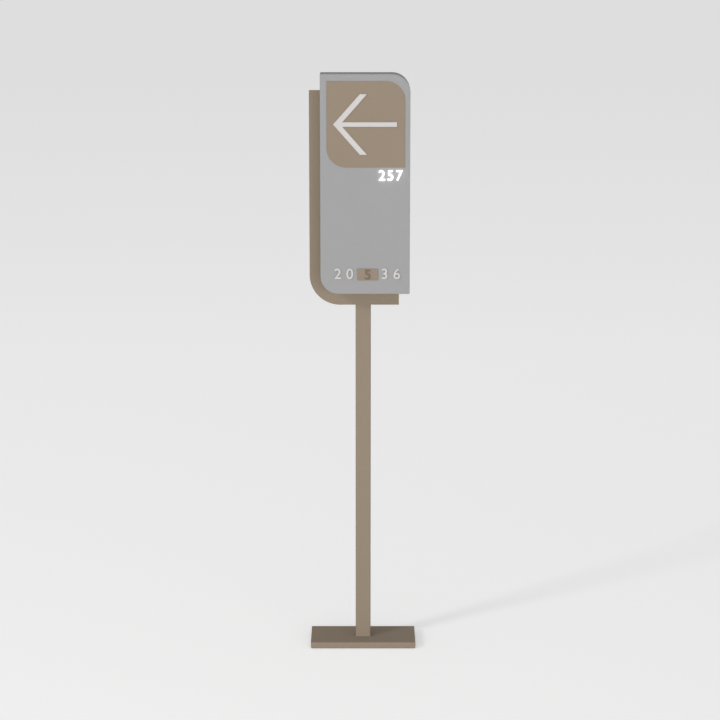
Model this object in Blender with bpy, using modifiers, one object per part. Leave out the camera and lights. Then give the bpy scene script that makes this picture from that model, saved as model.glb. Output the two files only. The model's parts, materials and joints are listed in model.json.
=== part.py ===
"""Free-standing directional sign.

A heavy base plate carries a square post. A thin rear plate is bolted to the top of the post, and a folded
sheet box with a lit legend sits in front of it, set to the right and upwards. +X is right, -Y is the side
that is read, +Z is up, and the origin is on the floor under the middle of the base.
"""
import math

import bmesh
import bpy
from mathutils import Vector

MM = 0.001

# Clearances
SEAT_GAP = 0.3 * MM
SLIDE_PLAY = 0.3 * MM
SCREW_PLAY = 0.5 * MM
THREAD_PLAY = 0.3 * MM

# Base plate and mat
BASE_WIDTH = 350 * MM
BASE_DEPTH = 170 * MM
BASE_THICKNESS = 20 * MM
BASE_CORNER = 3 * MM
BASE_EDGE = 0.8 * MM
MAT_THICKNESS = 1.5 * MM
MAT_INSET = 3 * MM

# Way of the supply cable through the base
CABLE_GROOVE_WIDTH = 10 * MM
CABLE_GROOVE_DEPTH = 10 * MM
CABLE_POCKET_RADIUS = 10 * MM
CABLE_POCKET_DEPTH = 11 * MM
CABLE_HOLE_RADIUS = 7 * MM
FOOT_BUSH_WALL = 2.2 * MM
FOOT_BUSH_FLANGE = 1.5 * MM
FOOT_BUSH_LENGTH = 18 * MM

# Post, the block in its foot and the cap on its top
POST_SIDE = 50 * MM
POST_WALL = 3 * MM
POST_CORNER = 4 * MM
POST_INNER_CORNER = 1 * MM
POST_LENGTH = 1800 * MM
FOOT_BLOCK_HEIGHT = 60 * MM
FOOT_BOLT_EDGE = 7.7 * MM
FOOT_TAP_DEPTH = 20 * MM
FOOT_SCREW_RISE = 18 * MM
FOOT_SCREW_PITCH = 24 * MM
CAP_THICKNESS = 2.5 * MM
CAP_PLUG_DEPTH = 16 * MM
CAP_PLUG_WALL = 2.4 * MM

# Rear plate, and how far it rises above the post
REAR_WIDTH = 291 * MM
REAR_HEIGHT = 698.5 * MM
REAR_THICKNESS = 5 * MM
REAR_CORNER = 99 * MM
REAR_EDGE = 0.5 * MM
REAR_LEFT_REACH = 174.5 * MM
REAR_RISE = 37.4 * MM

# Box in front of the rear plate: its size, and its steps from the plate's top left corner
BOX_WIDTH = 287.5 * MM
BOX_HEIGHT = 707 * MM
BOX_DEPTH = 75 * MM
BOX_CORNER = 58 * MM
BOX_STEP_RIGHT = 36.5 * MM
BOX_STEP_UP = 57.5 * MM
SHEET = 2 * MM
BEND_RADIUS = 2.5 * MM
TRAY_FLANGE = 24 * MM
TRAY_PLAY = 0.5 * MM

# Drain slots in the bottom of the box
DRAIN_COUNT = 3
DRAIN_LENGTH = 20 * MM
DRAIN_WIDTH = 4 * MM
DRAIN_END_RADIUS = 1.9 * MM
DRAIN_PITCH = 34 * MM
DRAIN_FROM_FACE = 16 * MM

# Joint between box, rear plate and post
HEAD_BOLT_COUNT = 4
HEAD_BOLT_TOP_EDGE = 50 * MM
HEAD_BOLT_LOW_EDGE = 60 * MM
RIVET_BARREL_RADIUS = 5.5 * MM
RIVET_FLANGE_RADIUS = 8.5 * MM
RIVET_FLANGE_THICKNESS = 1.2 * MM
RIVET_BULB_RADIUS = 7.2 * MM
RIVET_BULB_LENGTH = 4.5 * MM
RIVET_TAIL_LENGTH = 9 * MM
PLATE_SCREW_MARGIN = 40 * MM
PLATE_TAP_DEPTH = 4.2 * MM
HEAD_BUSH_RADIUS = 7.7 * MM
HEAD_BUSH_WALL = 2.2 * MM
HEAD_BUSH_FLANGE_WIDTH = 3.3 * MM
HEAD_BUSH_FLANGE = 1.5 * MM
HEAD_BUSH_LIP = 0.9 * MM
EDGE_SCREW_MARGIN = 60 * MM
EDGE_SCREW_FROM_ARC = 40 * MM

# Inset panel and arrow on the face
INSET_WIDTH = 250 * MM
INSET_HEIGHT = 280 * MM
INSET_THICKNESS = 1.5 * MM
INSET_CORNER = 62 * MM
INSET_MARGIN_RIGHT = 16.5 * MM
INSET_MARGIN_TOP = 19.3 * MM
ARROW_LENGTH = 202.5 * MM
ARROW_HEAD_RISE = 96.5 * MM
ARROW_HEAD_ANGLE = 50
ARROW_STROKE = 16.5 * MM
ARROW_THICKNESS = 3 * MM
ARROW_EDGE = 0.3 * MM
ARROW_MARGIN_LEFT = 23 * MM
STUD_RADIUS = 2 * MM
STUD_REACH = 6 * MM
STUD_ROOT = 0.5 * MM
STUD_EDGE = 14 * MM

# Lit legend: its field on the face, and the light unit behind it
LEGEND_WIDTH = 81 * MM
LEGEND_HEIGHT = 34 * MM
LEGEND_INDENT = 5 * MM
LEGEND_DROP = 6 * MM
CUP_MARGIN = 7 * MM
CUP_DEPTH = 30 * MM
CUP_WALL = 2.4 * MM
CUP_CORNER = 4 * MM
CUP_EAR_RADIUS = 6 * MM
CUP_EAR_ROUND = 5.9 * MM
CUP_EAR_THICKNESS = 3 * MM
CUP_EAR_INDENT = 14 * MM
DIFFUSER_THICKNESS = 3 * MM
DIFFUSER_LEDGE = 1.2 * MM
BOARD_THICKNESS = 1.6 * MM
BOARD_MARGIN = 2 * MM
LAMP_SIDE = 5 * MM
LAMP_HEIGHT = 1.4 * MM
LAMP_COLUMNS = 4
LAMP_ROWS = 2

# Power supply and terminal block on the tray
DRIVER_WIDTH = 45 * MM
DRIVER_LENGTH = 160 * MM
DRIVER_HEIGHT = 30 * MM
DRIVER_EDGE = 2 * MM
DRIVER_FOOT_LENGTH = 12 * MM
DRIVER_FOOT_THICKNESS = 2 * MM
DRIVER_LEFT_REACH = 75 * MM
DRIVER_RISE = 190 * MM
TERMINAL_WIDTH = 30 * MM
TERMINAL_HEIGHT = 18 * MM
TERMINAL_DEPTH = 14 * MM
TERMINAL_DROP = 40 * MM
TERMINAL_EDGE = 1 * MM
TERMINAL_POLE_PITCH = 20 * MM
TERMINAL_WELL_RADIUS = 2.5 * MM
TERMINAL_WELL_DEPTH = 6 * MM
TERMINAL_WIRE_RADIUS = 2 * MM
TERMINAL_SEAT = 6 * MM

# Lead from the power supply to the light unit, with its clips on the tray
LEAD_RADIUS = 2.5 * MM
LEAD_SPACING = 9 * MM
LEAD_REST_X = 35 * MM
LEAD_HALF_RUN = 25 * MM
CLIP_LENGTH = 6 * MM
CLIP_WALL = 1.4 * MM
CLIP_BASE_WIDTH = 14 * MM
CLIP_MOUTH = 3.6 * MM

# Screws: shank radius, shank length, head radius, head height, key width, key depth
FOOT_BOLT = (4 * MM, 28 * MM, 6.5 * MM, 8 * MM, 6 * MM, 4 * MM)
HEAD_BOLT = (4 * MM, 24 * MM, 6.5 * MM, 8 * MM, 6 * MM, 4 * MM)
FOOT_SCREW = (3 * MM, 14 * MM, 5.2 * MM, 3.3 * MM, 4 * MM, 2 * MM)
PLATE_SCREW = (2.5 * MM, 6 * MM, 4.7 * MM, 2.7 * MM, 3 * MM, 1.5 * MM)
DRIVER_SCREW = (2 * MM, 4 * MM, 3.8 * MM, 2.2 * MM, 2.5 * MM, 1.2 * MM)
TERMINAL_SCREW = (1.5 * MM, 7.5 * MM, 2.7 * MM, 1.7 * MM, 2 * MM, 1 * MM)
EDGE_SCREW_RADIUS = 1.5 * MM
EDGE_SCREW_LENGTH = 7 * MM
EDGE_SCREW_HEAD_RADIUS = 3 * MM
EDGE_SCREW_RIM = 0.2 * MM
EDGE_SCREW_KEY = 2 * MM
EDGE_SCREW_KEY_DEPTH = 1 * MM
COUNTERBORE_SPARE = 1 * MM
WASHER_RADIUS = 8 * MM
WASHER_THICKNESS = 1.6 * MM
NUT_WIDTH = 7 * MM
NUT_HEIGHT = 3.2 * MM

# Fineness of the facets
CURVE_DEVIATION = 0.15 * MM
BOLT_STEPS = 14
SCREW_STEPS = 10
HOLE_STEPS = 20
BEND_STEPS = 2
WELD = 0.001 * MM
CUT_PAST = 2 * MM

# Heights, from the floor up
BASE_BOTTOM = MAT_THICKNESS + SEAT_GAP
BASE_TOP = BASE_BOTTOM + BASE_THICKNESS
POST_BOTTOM = BASE_TOP + SEAT_GAP
POST_TOP = POST_BOTTOM + POST_LENGTH
REAR_TOP = POST_TOP + REAR_RISE
REAR_BOTTOM = REAR_TOP - REAR_HEIGHT
BOX_TOP = REAR_TOP + BOX_STEP_UP
BOX_BOTTOM = BOX_TOP - BOX_HEIGHT
INSET_TOP = BOX_TOP - INSET_MARGIN_TOP
INSET_BOTTOM = INSET_TOP - INSET_HEIGHT
INSET_Z = (INSET_TOP + INSET_BOTTOM) / 2
LEGEND_Z = INSET_BOTTOM - LEGEND_DROP - LEGEND_HEIGHT / 2

# Places from left to right
REAR_LEFT = -REAR_LEFT_REACH
REAR_RIGHT = REAR_LEFT + REAR_WIDTH
BOX_LEFT = REAR_LEFT + BOX_STEP_RIGHT
BOX_RIGHT = BOX_LEFT + BOX_WIDTH
INSET_RIGHT = BOX_RIGHT - INSET_MARGIN_RIGHT
INSET_LEFT = INSET_RIGHT - INSET_WIDTH
LEGEND_X = INSET_RIGHT - LEGEND_INDENT - LEGEND_WIDTH / 2
DRIVER_X = -DRIVER_LEFT_REACH

# Layers from the post forwards
POST_FACE = -POST_SIDE / 2
REAR_BACK = POST_FACE - SEAT_GAP
REAR_FACE = REAR_BACK - REAR_THICKNESS
BOX_BACK = REAR_FACE - SEAT_GAP
TRAY_FACE = BOX_BACK - SHEET
BOX_FACE = BOX_BACK - BOX_DEPTH
FACE_INSIDE = BOX_FACE + SHEET
INSET_FACE = BOX_FACE - SEAT_GAP - INSET_THICKNESS
ARROW_BACK = INSET_FACE - SEAT_GAP

# Middles of the plates that fasteners and cables go by
FOOT_BLOCK_SIDE = POST_SIDE - 2 * (POST_WALL + SLIDE_PLAY)
FOOT_BOLT_OFFSET = FOOT_BLOCK_SIDE / 2 - FOOT_BOLT_EDGE
HEAD_BOLT_TOP_Z = POST_TOP - HEAD_BOLT_TOP_EDGE
HEAD_BOLT_LOW_Z = max(BOX_BOTTOM, REAR_BOTTOM) + HEAD_BOLT_LOW_EDGE
HEAD_BOLT_PITCH = (HEAD_BOLT_TOP_Z - HEAD_BOLT_LOW_Z) / (HEAD_BOLT_COUNT - 1)
HEAD_BOLT_HEIGHTS = [HEAD_BOLT_LOW_Z + step * HEAD_BOLT_PITCH for step in range(HEAD_BOLT_COUNT)]
HEAD_BUSH_Z = HEAD_BOLT_LOW_Z + HEAD_BOLT_PITCH / 2
HEAD_HOLE_RADIUS = HEAD_BUSH_RADIUS + SEAT_GAP
LEAD_Z = HEAD_BOLT_LOW_Z + HEAD_BOLT_PITCH * 1.5
CLIP_BASE_THICKNESS = CLIP_WALL + SEAT_GAP
LEAD_Y = TRAY_FACE - 2 * SEAT_GAP - CLIP_BASE_THICKNESS - LEAD_RADIUS
DRIVER_Z = BOX_BOTTOM + DRIVER_RISE
TERMINAL_Z = DRIVER_Z - DRIVER_LENGTH / 2 - TERMINAL_DROP

# Ways that a piece's own +Z can face
UPWARD = (0, 0, 0)
DOWNWARD = (math.pi, 0, 0)
FORWARD = (math.pi / 2, 0, 0)
BACKWARD = (-math.pi / 2, 0, 0)
LEFTWARD = (0, -math.pi / 2, 0)
RIGHTWARD = (0, math.pi / 2, 0)

# Finishes: colour, roughness, metallic
TAUPE_PAINT = ((0.314, 0.238, 0.184), 0.55, 0.0)
GREY_PAINT = ((0.376, 0.376, 0.376), 0.5, 0.0)
OFF_WHITE_PAINT = ((0.73, 0.67, 0.64), 0.5, 0.0)
ZINC = ((0.55, 0.56, 0.58), 0.35, 1.0)
BLACK_RUBBER = ((0.02, 0.02, 0.02), 0.85, 0.0)
TAUPE_PLASTIC = ((0.28, 0.21, 0.16), 0.6, 0.0)
WHITE_PLASTIC = ((0.75, 0.75, 0.73), 0.45, 0.0)
OPAL_ACRYLIC = ((0.9, 0.9, 0.88), 0.3, 0.0)
CIRCUIT_BOARD = ((0.03, 0.16, 0.07), 0.4, 0.0)
DRIVER_CASE = ((0.6, 0.61, 0.62), 0.4, 0.9)
BLACK_SHEATH = ((0.03, 0.03, 0.03), 0.6, 0.0)


def clear_scene():
    """Removes every object that the scene holds."""
    for old_object in list(bpy.data.objects):
        bpy.data.objects.remove(old_object)


def new_collection(name):
    """Adds a collection to the scene."""
    collection = bpy.data.collections.new(name)
    bpy.context.scene.collection.children.link(collection)
    return collection


clear_scene()
SIGN = new_collection("directional_sign")
CUTTERS = new_collection("cutters")


def new_material(name, finish):
    """Gives a piece its own Principled material."""
    colour, roughness, metallic = finish
    material = bpy.data.materials.new(name + "_finish")
    material.use_nodes = True
    shader = material.node_tree.nodes["Principled BSDF"]
    shader.inputs["Base Color"].default_value = (*colour, 1)
    shader.inputs["Roughness"].default_value = roughness
    shader.inputs["Metallic"].default_value = metallic
    return material


def place(name, data, location, facing, finish=None):
    """Adds an object: a piece of the sign where it has a finish, otherwise a cutter or a tool."""
    added = bpy.data.objects.new(name, data)
    added.location = location
    added.rotation_euler = facing
    if finish:
        data.materials.clear()
        data.materials.append(new_material(name, finish))
        SIGN.objects.link(added)
    else:
        added.hide_render = True
        added.display_type = "WIRE"
        CUTTERS.objects.link(added)
    return added


def group(name, members, location=(0, 0, 0)):
    """Parents the pieces of one assembly to an empty."""
    empty = bpy.data.objects.new(name, None)
    empty.location = location
    SIGN.objects.link(empty)
    for member in members:
        member.parent = empty
        member.location = Vector(member.location) - Vector(location)
    return empty


def cut(target, cutter):
    """Cuts a tool's shape out of a piece."""
    modifier = target.modifiers.new("cut " + cutter.name, "BOOLEAN")
    modifier.operation = "DIFFERENCE"
    modifier.solver = "EXACT"
    modifier.object = cutter


def fuse(target, tool):
    """Joins a tool's shape to a piece."""
    modifier = target.modifiers.new("fuse " + tool.name, "BOOLEAN")
    modifier.operation = "UNION"
    modifier.solver = "EXACT"
    modifier.object = tool


def ease_edges(target, width, segments=1, angle=50):
    """Rounds or chamfers the edges that are sharper than an angle in degrees."""
    modifier = target.modifiers.new("ease edges", "BEVEL")
    modifier.width = width
    modifier.segments = segments
    modifier.limit_method = "ANGLE"
    modifier.angle_limit = math.radians(angle)
    modifier.use_clamp_overlap = True


def arc_steps(radius, turn):
    """Facets that keep an arc, turning by an angle in radians, within the allowed deviation."""
    facet = 2 * math.acos(1 - min(CURVE_DEVIATION / radius, 0.5))
    return max(2, math.ceil(turn / facet))


def rounded_rectangle(width, height, radii):
    """Outline round the origin, with radii from the bottom left corner anticlockwise."""
    points = []
    sides = ((-1, -1), (1, -1), (1, 1), (-1, 1))
    for index, ((side_x, side_y), radius) in enumerate(zip(sides, radii)):
        centre_x = side_x * (width / 2 - radius)
        centre_y = side_y * (height / 2 - radius)
        if radius <= 0:
            points.append((centre_x, centre_y))
            continue
        start = math.pi + index * math.pi / 2
        steps = arc_steps(radius, math.pi / 2)
        for step in range(steps + 1):
            angle = start + step * math.pi / 2 / steps
            points.append((centre_x + radius * math.cos(angle), centre_y + radius * math.sin(angle)))
    return points


def flat_mesh(name, outlines, thickness):
    """Closed mesh of a flat outline and any holes in it, with the origin at mid thickness."""
    curve = bpy.data.curves.new(name + "_outline", "CURVE")
    curve.dimensions = "2D"
    curve.fill_mode = "BOTH"
    curve.extrude = thickness / 2
    for points in outlines:
        spline = curve.splines.new("POLY")
        spline.points.add(len(points) - 1)
        for spline_point, (x, y) in zip(spline.points, points):
            spline_point.co = (x, y, 0, 1)
        spline.use_cyclic_u = True
    guide = bpy.data.objects.new(name + "_outline", curve)
    CUTTERS.objects.link(guide)
    depsgraph = bpy.context.evaluated_depsgraph_get()
    mesh = bpy.data.meshes.new_from_object(guide.evaluated_get(depsgraph))
    mesh.name = name
    bpy.data.objects.remove(guide)
    shape = bmesh.new()
    shape.from_mesh(mesh)
    bmesh.ops.remove_doubles(shape, verts=shape.verts, dist=WELD)
    bmesh.ops.dissolve_limit(shape, angle_limit=math.radians(0.5), verts=shape.verts, edges=shape.edges)
    bmesh.ops.recalc_face_normals(shape, faces=shape.faces)
    shape.to_mesh(mesh)
    shape.free()
    mesh.shade_smooth()
    mesh.set_sharp_from_angle(angle=math.radians(30))
    return mesh


def box_mesh(name, size):
    """Closed box round its origin."""
    mesh = bpy.data.meshes.new(name)
    shape = bmesh.new()
    bmesh.ops.create_cube(shape, size=1)
    bmesh.ops.scale(shape, vec=size, verts=shape.verts)
    shape.to_mesh(mesh)
    shape.free()
    return mesh


def cylinder_mesh(name, radius, length, steps):
    """Closed cylinder, or prism, along Z round its origin."""
    mesh = bpy.data.meshes.new(name)
    shape = bmesh.new()
    bmesh.ops.create_cone(
        shape, cap_ends=True, cap_tris=False, segments=steps, radius1=radius, radius2=radius, depth=length
    )
    shape.to_mesh(mesh)
    shape.free()
    return mesh


def box_tool(name, size, location, facing=UPWARD):
    """Box that cuts, or is fused."""
    return place(name, box_mesh(name, size), location, facing)


def cylinder_tool(name, radius, length, location, facing=UPWARD, steps=BOLT_STEPS):
    """Cylinder that cuts, or is fused."""
    return place(name, cylinder_mesh(name, radius, length, steps), location, facing)


def turned_piece(name, profile, location, facing, finish=None, closed=False, steps=BOLT_STEPS):
    """Turned shape: a profile of (radius, height) pairs, read down its outer side."""
    mesh = bpy.data.meshes.new(name)
    edges = [(index, index + 1) for index in range(len(profile) - 1)]
    if closed:
        edges.append((len(profile) - 1, 0))
    mesh.from_pydata([(radius, 0, height) for radius, height in profile], edges, [])
    piece = place(name, mesh, location, facing, finish)
    turn = piece.modifiers.new("turn", "SCREW")
    turn.axis = "Z"
    turn.angle = 2 * math.pi
    turn.steps = steps
    turn.render_steps = steps
    turn.use_merge_vertices = True
    turn.merge_threshold = WELD
    turn.use_smooth_shade = False
    return piece


def hexagon_radius(width_across_flats):
    """Corner radius of a hexagon."""
    return width_across_flats / math.sqrt(3)


def toward(facing, distance):
    """Step of a length along a piece's own +Z."""
    from_axis = {
        UPWARD: (0, 0, 1), DOWNWARD: (0, 0, -1), FORWARD: (0, -1, 0),
        BACKWARD: (0, 1, 0), LEFTWARD: (-1, 0, 0), RIGHTWARD: (1, 0, 0),
    }
    return Vector(from_axis[facing]) * distance


def add_bolt(name, sizes, seat, facing, steps=BOLT_STEPS):
    """Socket head screw, with the underside of its head a seat gap above the seat point."""
    shank, length, head, height, key, key_depth = sizes
    ease = shank / 6
    profile = [
        (0, height), (head - ease, height), (head, height - ease), (head, 0), (shank, 0),
        (shank, -length + ease), (shank - ease, -length), (0, -length),
    ]
    origin = Vector(seat) + toward(facing, SEAT_GAP)
    bolt = turned_piece(name, profile, origin, facing, ZINC, steps=steps)
    socket_at = origin + toward(facing, height + CUT_PAST / 2 - key_depth / 2)
    cut(bolt, cylinder_tool(name + "_key", hexagon_radius(key), key_depth + CUT_PAST, socket_at, facing, 6))
    return bolt


def add_nut(name, seat, facing):
    """Hexagon nut on a stud, a seat gap above the seat point."""
    middle = Vector(seat) + toward(facing, SEAT_GAP + NUT_HEIGHT / 2)
    nut = place(name, cylinder_mesh(name, hexagon_radius(NUT_WIDTH), NUT_HEIGHT, 6), middle, facing, ZINC)
    bore = cylinder_tool(
        name + "_bore", STUD_RADIUS + THREAD_PLAY, NUT_HEIGHT + CUT_PAST, middle, facing, SCREW_STEPS
    )
    cut(nut, bore)
    return nut


def foot_bolt_places():
    """Plan positions of the four bolts under the post."""
    return [(x * FOOT_BOLT_OFFSET, y * FOOT_BOLT_OFFSET) for x in (-1, 1) for y in (-1, 1)]


def build_mat():
    """Thin mat under the base, set in from its edges."""
    width, depth = BASE_WIDTH - 2 * MAT_INSET, BASE_DEPTH - 2 * MAT_INSET
    outline = rounded_rectangle(width, depth, [BASE_CORNER] * 4)
    mesh = flat_mesh("floor_mat", [outline], MAT_THICKNESS)
    return place("floor_mat", mesh, (0, 0, MAT_THICKNESS / 2), UPWARD, BLACK_RUBBER)


def build_base_plate():
    """Heavy plate with stepped bolt holes and the cable's groove and pocket on its underside."""
    outline = rounded_rectangle(BASE_WIDTH, BASE_DEPTH, [BASE_CORNER] * 4)
    mesh = flat_mesh("base_plate", [outline], BASE_THICKNESS)
    plate = place("base_plate", mesh, (0, 0, (BASE_BOTTOM + BASE_TOP) / 2), UPWARD, TAUPE_PAINT)
    ease_edges(plate, BASE_EDGE)
    shank, _, head, head_height, _, _ = FOOT_BOLT
    ledge = BASE_BOTTOM + head_height + COUNTERBORE_SPARE
    low, high = BASE_BOTTOM - CUT_PAST, BASE_TOP + CUT_PAST
    for index, (x, y) in enumerate(foot_bolt_places()):
        step = [
            (0, high), (shank + SCREW_PLAY, high), (shank + SCREW_PLAY, ledge),
            (head + SCREW_PLAY, ledge), (head + SCREW_PLAY, low), (0, low),
        ]
        cut(plate, turned_piece(f"foot_bolt_hole_{index + 1}", step, (x, y, 0), UPWARD))
    ceiling = BASE_BOTTOM + CABLE_POCKET_DEPTH
    pocket = [
        (0, high), (CABLE_HOLE_RADIUS, high), (CABLE_HOLE_RADIUS, ceiling),
        (CABLE_POCKET_RADIUS, ceiling), (CABLE_POCKET_RADIUS, low), (0, low),
    ]
    cut(plate, turned_piece("cable_pocket", pocket, (0, 0, 0), UPWARD, steps=HOLE_STEPS))
    groove_length = BASE_DEPTH / 2 + CUT_PAST
    groove_height = BASE_BOTTOM + CABLE_GROOVE_DEPTH - low
    groove_size = (CABLE_GROOVE_WIDTH, groove_length, groove_height)
    groove_at = (0, groove_length / 2, low + groove_height / 2)
    cut(plate, box_tool("cable_groove", groove_size, groove_at))
    return plate


def build_foot_block():
    """Block in the post's foot, tapped from below for the bolts and from behind for the screws."""
    size = (FOOT_BLOCK_SIDE, FOOT_BLOCK_SIDE, FOOT_BLOCK_HEIGHT)
    bottom = POST_BOTTOM
    block = place("foot_block", box_mesh("foot_block", size), (0, 0, bottom + size[2] / 2), UPWARD, ZINC)
    ease_edges(block, POST_INNER_CORNER)
    cable = cylinder_tool(
        "foot_block_cable", CABLE_HOLE_RADIUS, FOOT_BLOCK_HEIGHT + 2 * CUT_PAST, block.location,
        steps=HOLE_STEPS
    )
    cut(block, cable)
    tap_length = FOOT_TAP_DEPTH + CUT_PAST
    for index, (x, y) in enumerate(foot_bolt_places()):
        at = (x, y, bottom + FOOT_TAP_DEPTH - tap_length / 2)
        cut(block, cylinder_tool(f"foot_tap_{index + 1}", FOOT_BOLT[0] + THREAD_PLAY, tap_length, at))
    for index, z in enumerate(foot_screw_heights()):
        depth = FOOT_SCREW[1] - POST_WALL + CUT_PAST
        at = (0, FOOT_BLOCK_SIDE / 2 + CUT_PAST - (depth + CUT_PAST) / 2, z)
        tool = cylinder_tool(f"foot_side_tap_{index + 1}", FOOT_SCREW[0] + THREAD_PLAY, depth + CUT_PAST, at,
                             BACKWARD, SCREW_STEPS)
        cut(block, tool)
    return block


def foot_screw_heights():
    """Heights of the two screws that hold the post to its block."""
    first = POST_BOTTOM + FOOT_SCREW_RISE
    return [first, first + FOOT_SCREW_PITCH]


def build_foot_bush():
    """Rubber bush that lines the cable hole, with its flange under the base plate."""
    outer = CABLE_HOLE_RADIUS - SEAT_GAP
    bore = outer - FOOT_BUSH_WALL
    flange = CABLE_POCKET_RADIUS - 2 * SEAT_GAP
    seat = BASE_BOTTOM + CABLE_POCKET_DEPTH - SEAT_GAP
    profile = [
        (outer, FOOT_BUSH_LENGTH), (outer, 0), (flange, 0), (flange, -FOOT_BUSH_FLANGE),
        (bore, -FOOT_BUSH_FLANGE), (bore, FOOT_BUSH_LENGTH),
    ]
    return turned_piece("foot_bush", profile, (0, 0, seat), UPWARD, BLACK_RUBBER, True, HOLE_STEPS)


def build_foot_fasteners():
    """Bolts from under the base, and the screws in the back of the post."""
    seat = BASE_BOTTOM + FOOT_BOLT[3] + COUNTERBORE_SPARE
    bolts = []
    for index, (x, y) in enumerate(foot_bolt_places()):
        bolts.append(add_bolt(f"foot_bolt_{index + 1}", FOOT_BOLT, (x, y, seat), DOWNWARD))
    for index, z in enumerate(foot_screw_heights()):
        at = (0, POST_SIDE / 2, z)
        bolts.append(add_bolt(f"foot_screw_{index + 1}", FOOT_SCREW, at, BACKWARD, SCREW_STEPS))
    return bolts


def build_post():
    """Square tube with the holes for the foot screws, the rivet nuts and the cable."""
    outer = rounded_rectangle(POST_SIDE, POST_SIDE, [POST_CORNER] * 4)
    inner_side = POST_SIDE - 2 * POST_WALL
    inner = rounded_rectangle(inner_side, inner_side, [POST_INNER_CORNER] * 4)
    mesh = flat_mesh("post", [outer, inner], POST_LENGTH)
    post = place("post", mesh, (0, 0, (POST_BOTTOM + POST_TOP) / 2), UPWARD, TAUPE_PAINT)
    wall_cut = POST_WALL + 2 * CUT_PAST
    front_wall = POST_FACE + POST_WALL / 2
    for index, z in enumerate(foot_screw_heights()):
        at = (0, -front_wall, z)
        tool = cylinder_tool(f"foot_screw_hole_{index + 1}", FOOT_SCREW[0] + SCREW_PLAY, wall_cut, at, BACKWARD,
                             SCREW_STEPS)
        cut(post, tool)
    for index, z in enumerate(HEAD_BOLT_HEIGHTS):
        radius = RIVET_BARREL_RADIUS + SEAT_GAP
        cut(post, cylinder_tool(f"rivet_hole_{index + 1}", radius, wall_cut, (0, front_wall, z), FORWARD))
    cable_at = (0, front_wall, HEAD_BUSH_Z)
    cut(post, cylinder_tool("post_cable_hole", HEAD_HOLE_RADIUS, wall_cut, cable_at, FORWARD, HOLE_STEPS))
    return post


def build_post_cap():
    """Plastic cap with a hollow plug that grips inside the tube."""
    outline = rounded_rectangle(POST_SIDE, POST_SIDE, [POST_CORNER] * 4)
    mesh = flat_mesh("post_cap", [outline], CAP_THICKNESS)
    middle = POST_TOP + SEAT_GAP + CAP_THICKNESS / 2
    cap = place("post_cap", mesh, (0, 0, middle), UPWARD, TAUPE_PLASTIC)
    ease_edges(cap, CAP_THICKNESS / 4)
    plug_side = POST_SIDE - 2 * (POST_WALL + SLIDE_PLAY)
    plug_top = middle
    plug_bottom = POST_TOP - CAP_PLUG_DEPTH
    plug = flat_mesh(
        "cap_plug", [rounded_rectangle(plug_side, plug_side, [POST_INNER_CORNER] * 4)], plug_top - plug_bottom
    )
    fuse(cap, place("cap_plug", plug, (0, 0, (plug_top + plug_bottom) / 2), UPWARD))
    hollow_side = plug_side - 2 * CAP_PLUG_WALL
    hollow_height = CAP_PLUG_DEPTH + CUT_PAST
    hollow_at = (0, 0, POST_TOP - hollow_height / 2)
    cut(cap, box_tool("cap_hollow", (hollow_side, hollow_side, hollow_height), hollow_at))
    return cap


def plate_screw_places():
    """Places, seen from the front, of the screws from the tray into the rear plate."""
    left = max(BOX_LEFT, REAR_LEFT) + PLATE_SCREW_MARGIN
    right = min(BOX_RIGHT, REAR_RIGHT) - PLATE_SCREW_MARGIN
    low = max(BOX_BOTTOM, REAR_BOTTOM) + PLATE_SCREW_MARGIN
    high = min(BOX_TOP, REAR_TOP) - PLATE_SCREW_MARGIN
    return [(x, z) for x in (left, right) for z in (low, high)]


def build_rear_plate():
    """Thin plate with pockets behind for the rivet nuts' flanges and tapped holes in front."""
    outline = rounded_rectangle(REAR_WIDTH, REAR_HEIGHT, [REAR_CORNER, 0, REAR_CORNER, 0])
    mesh = flat_mesh("rear_plate", [outline], REAR_THICKNESS)
    middle = ((REAR_LEFT + REAR_RIGHT) / 2, (REAR_BACK + REAR_FACE) / 2, (REAR_BOTTOM + REAR_TOP) / 2)
    plate = place("rear_plate", mesh, middle, FORWARD, TAUPE_PAINT)
    ease_edges(plate, REAR_EDGE)
    front = REAR_THICKNESS + CUT_PAST
    pocket = RIVET_FLANGE_THICKNESS + SEAT_GAP
    for index, z in enumerate(HEAD_BOLT_HEIGHTS):
        step = [
            (0, front), (HEAD_BOLT[0] + SCREW_PLAY, front), (HEAD_BOLT[0] + SCREW_PLAY, pocket),
            (RIVET_FLANGE_RADIUS + SCREW_PLAY, pocket), (RIVET_FLANGE_RADIUS + SCREW_PLAY, -CUT_PAST),
            (0, -CUT_PAST),
        ]
        cut(plate, turned_piece(f"rear_bolt_hole_{index + 1}", step, (0, REAR_BACK, z), FORWARD))
    through = REAR_THICKNESS + 2 * CUT_PAST
    cable_at = (0, middle[1], HEAD_BUSH_Z)
    cut(plate, cylinder_tool("rear_cable_hole", HEAD_HOLE_RADIUS, through, cable_at, FORWARD, HOLE_STEPS))
    for index, (x, z) in enumerate(plate_screw_places()):
        length = PLATE_TAP_DEPTH + CUT_PAST
        at = (x, REAR_FACE + PLATE_TAP_DEPTH - length / 2, z)
        tool = cylinder_tool(f"rear_tap_{index + 1}", PLATE_SCREW[0] + THREAD_PLAY, length, at, FORWARD,
                             SCREW_STEPS)
        cut(plate, tool)
    return plate


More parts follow.
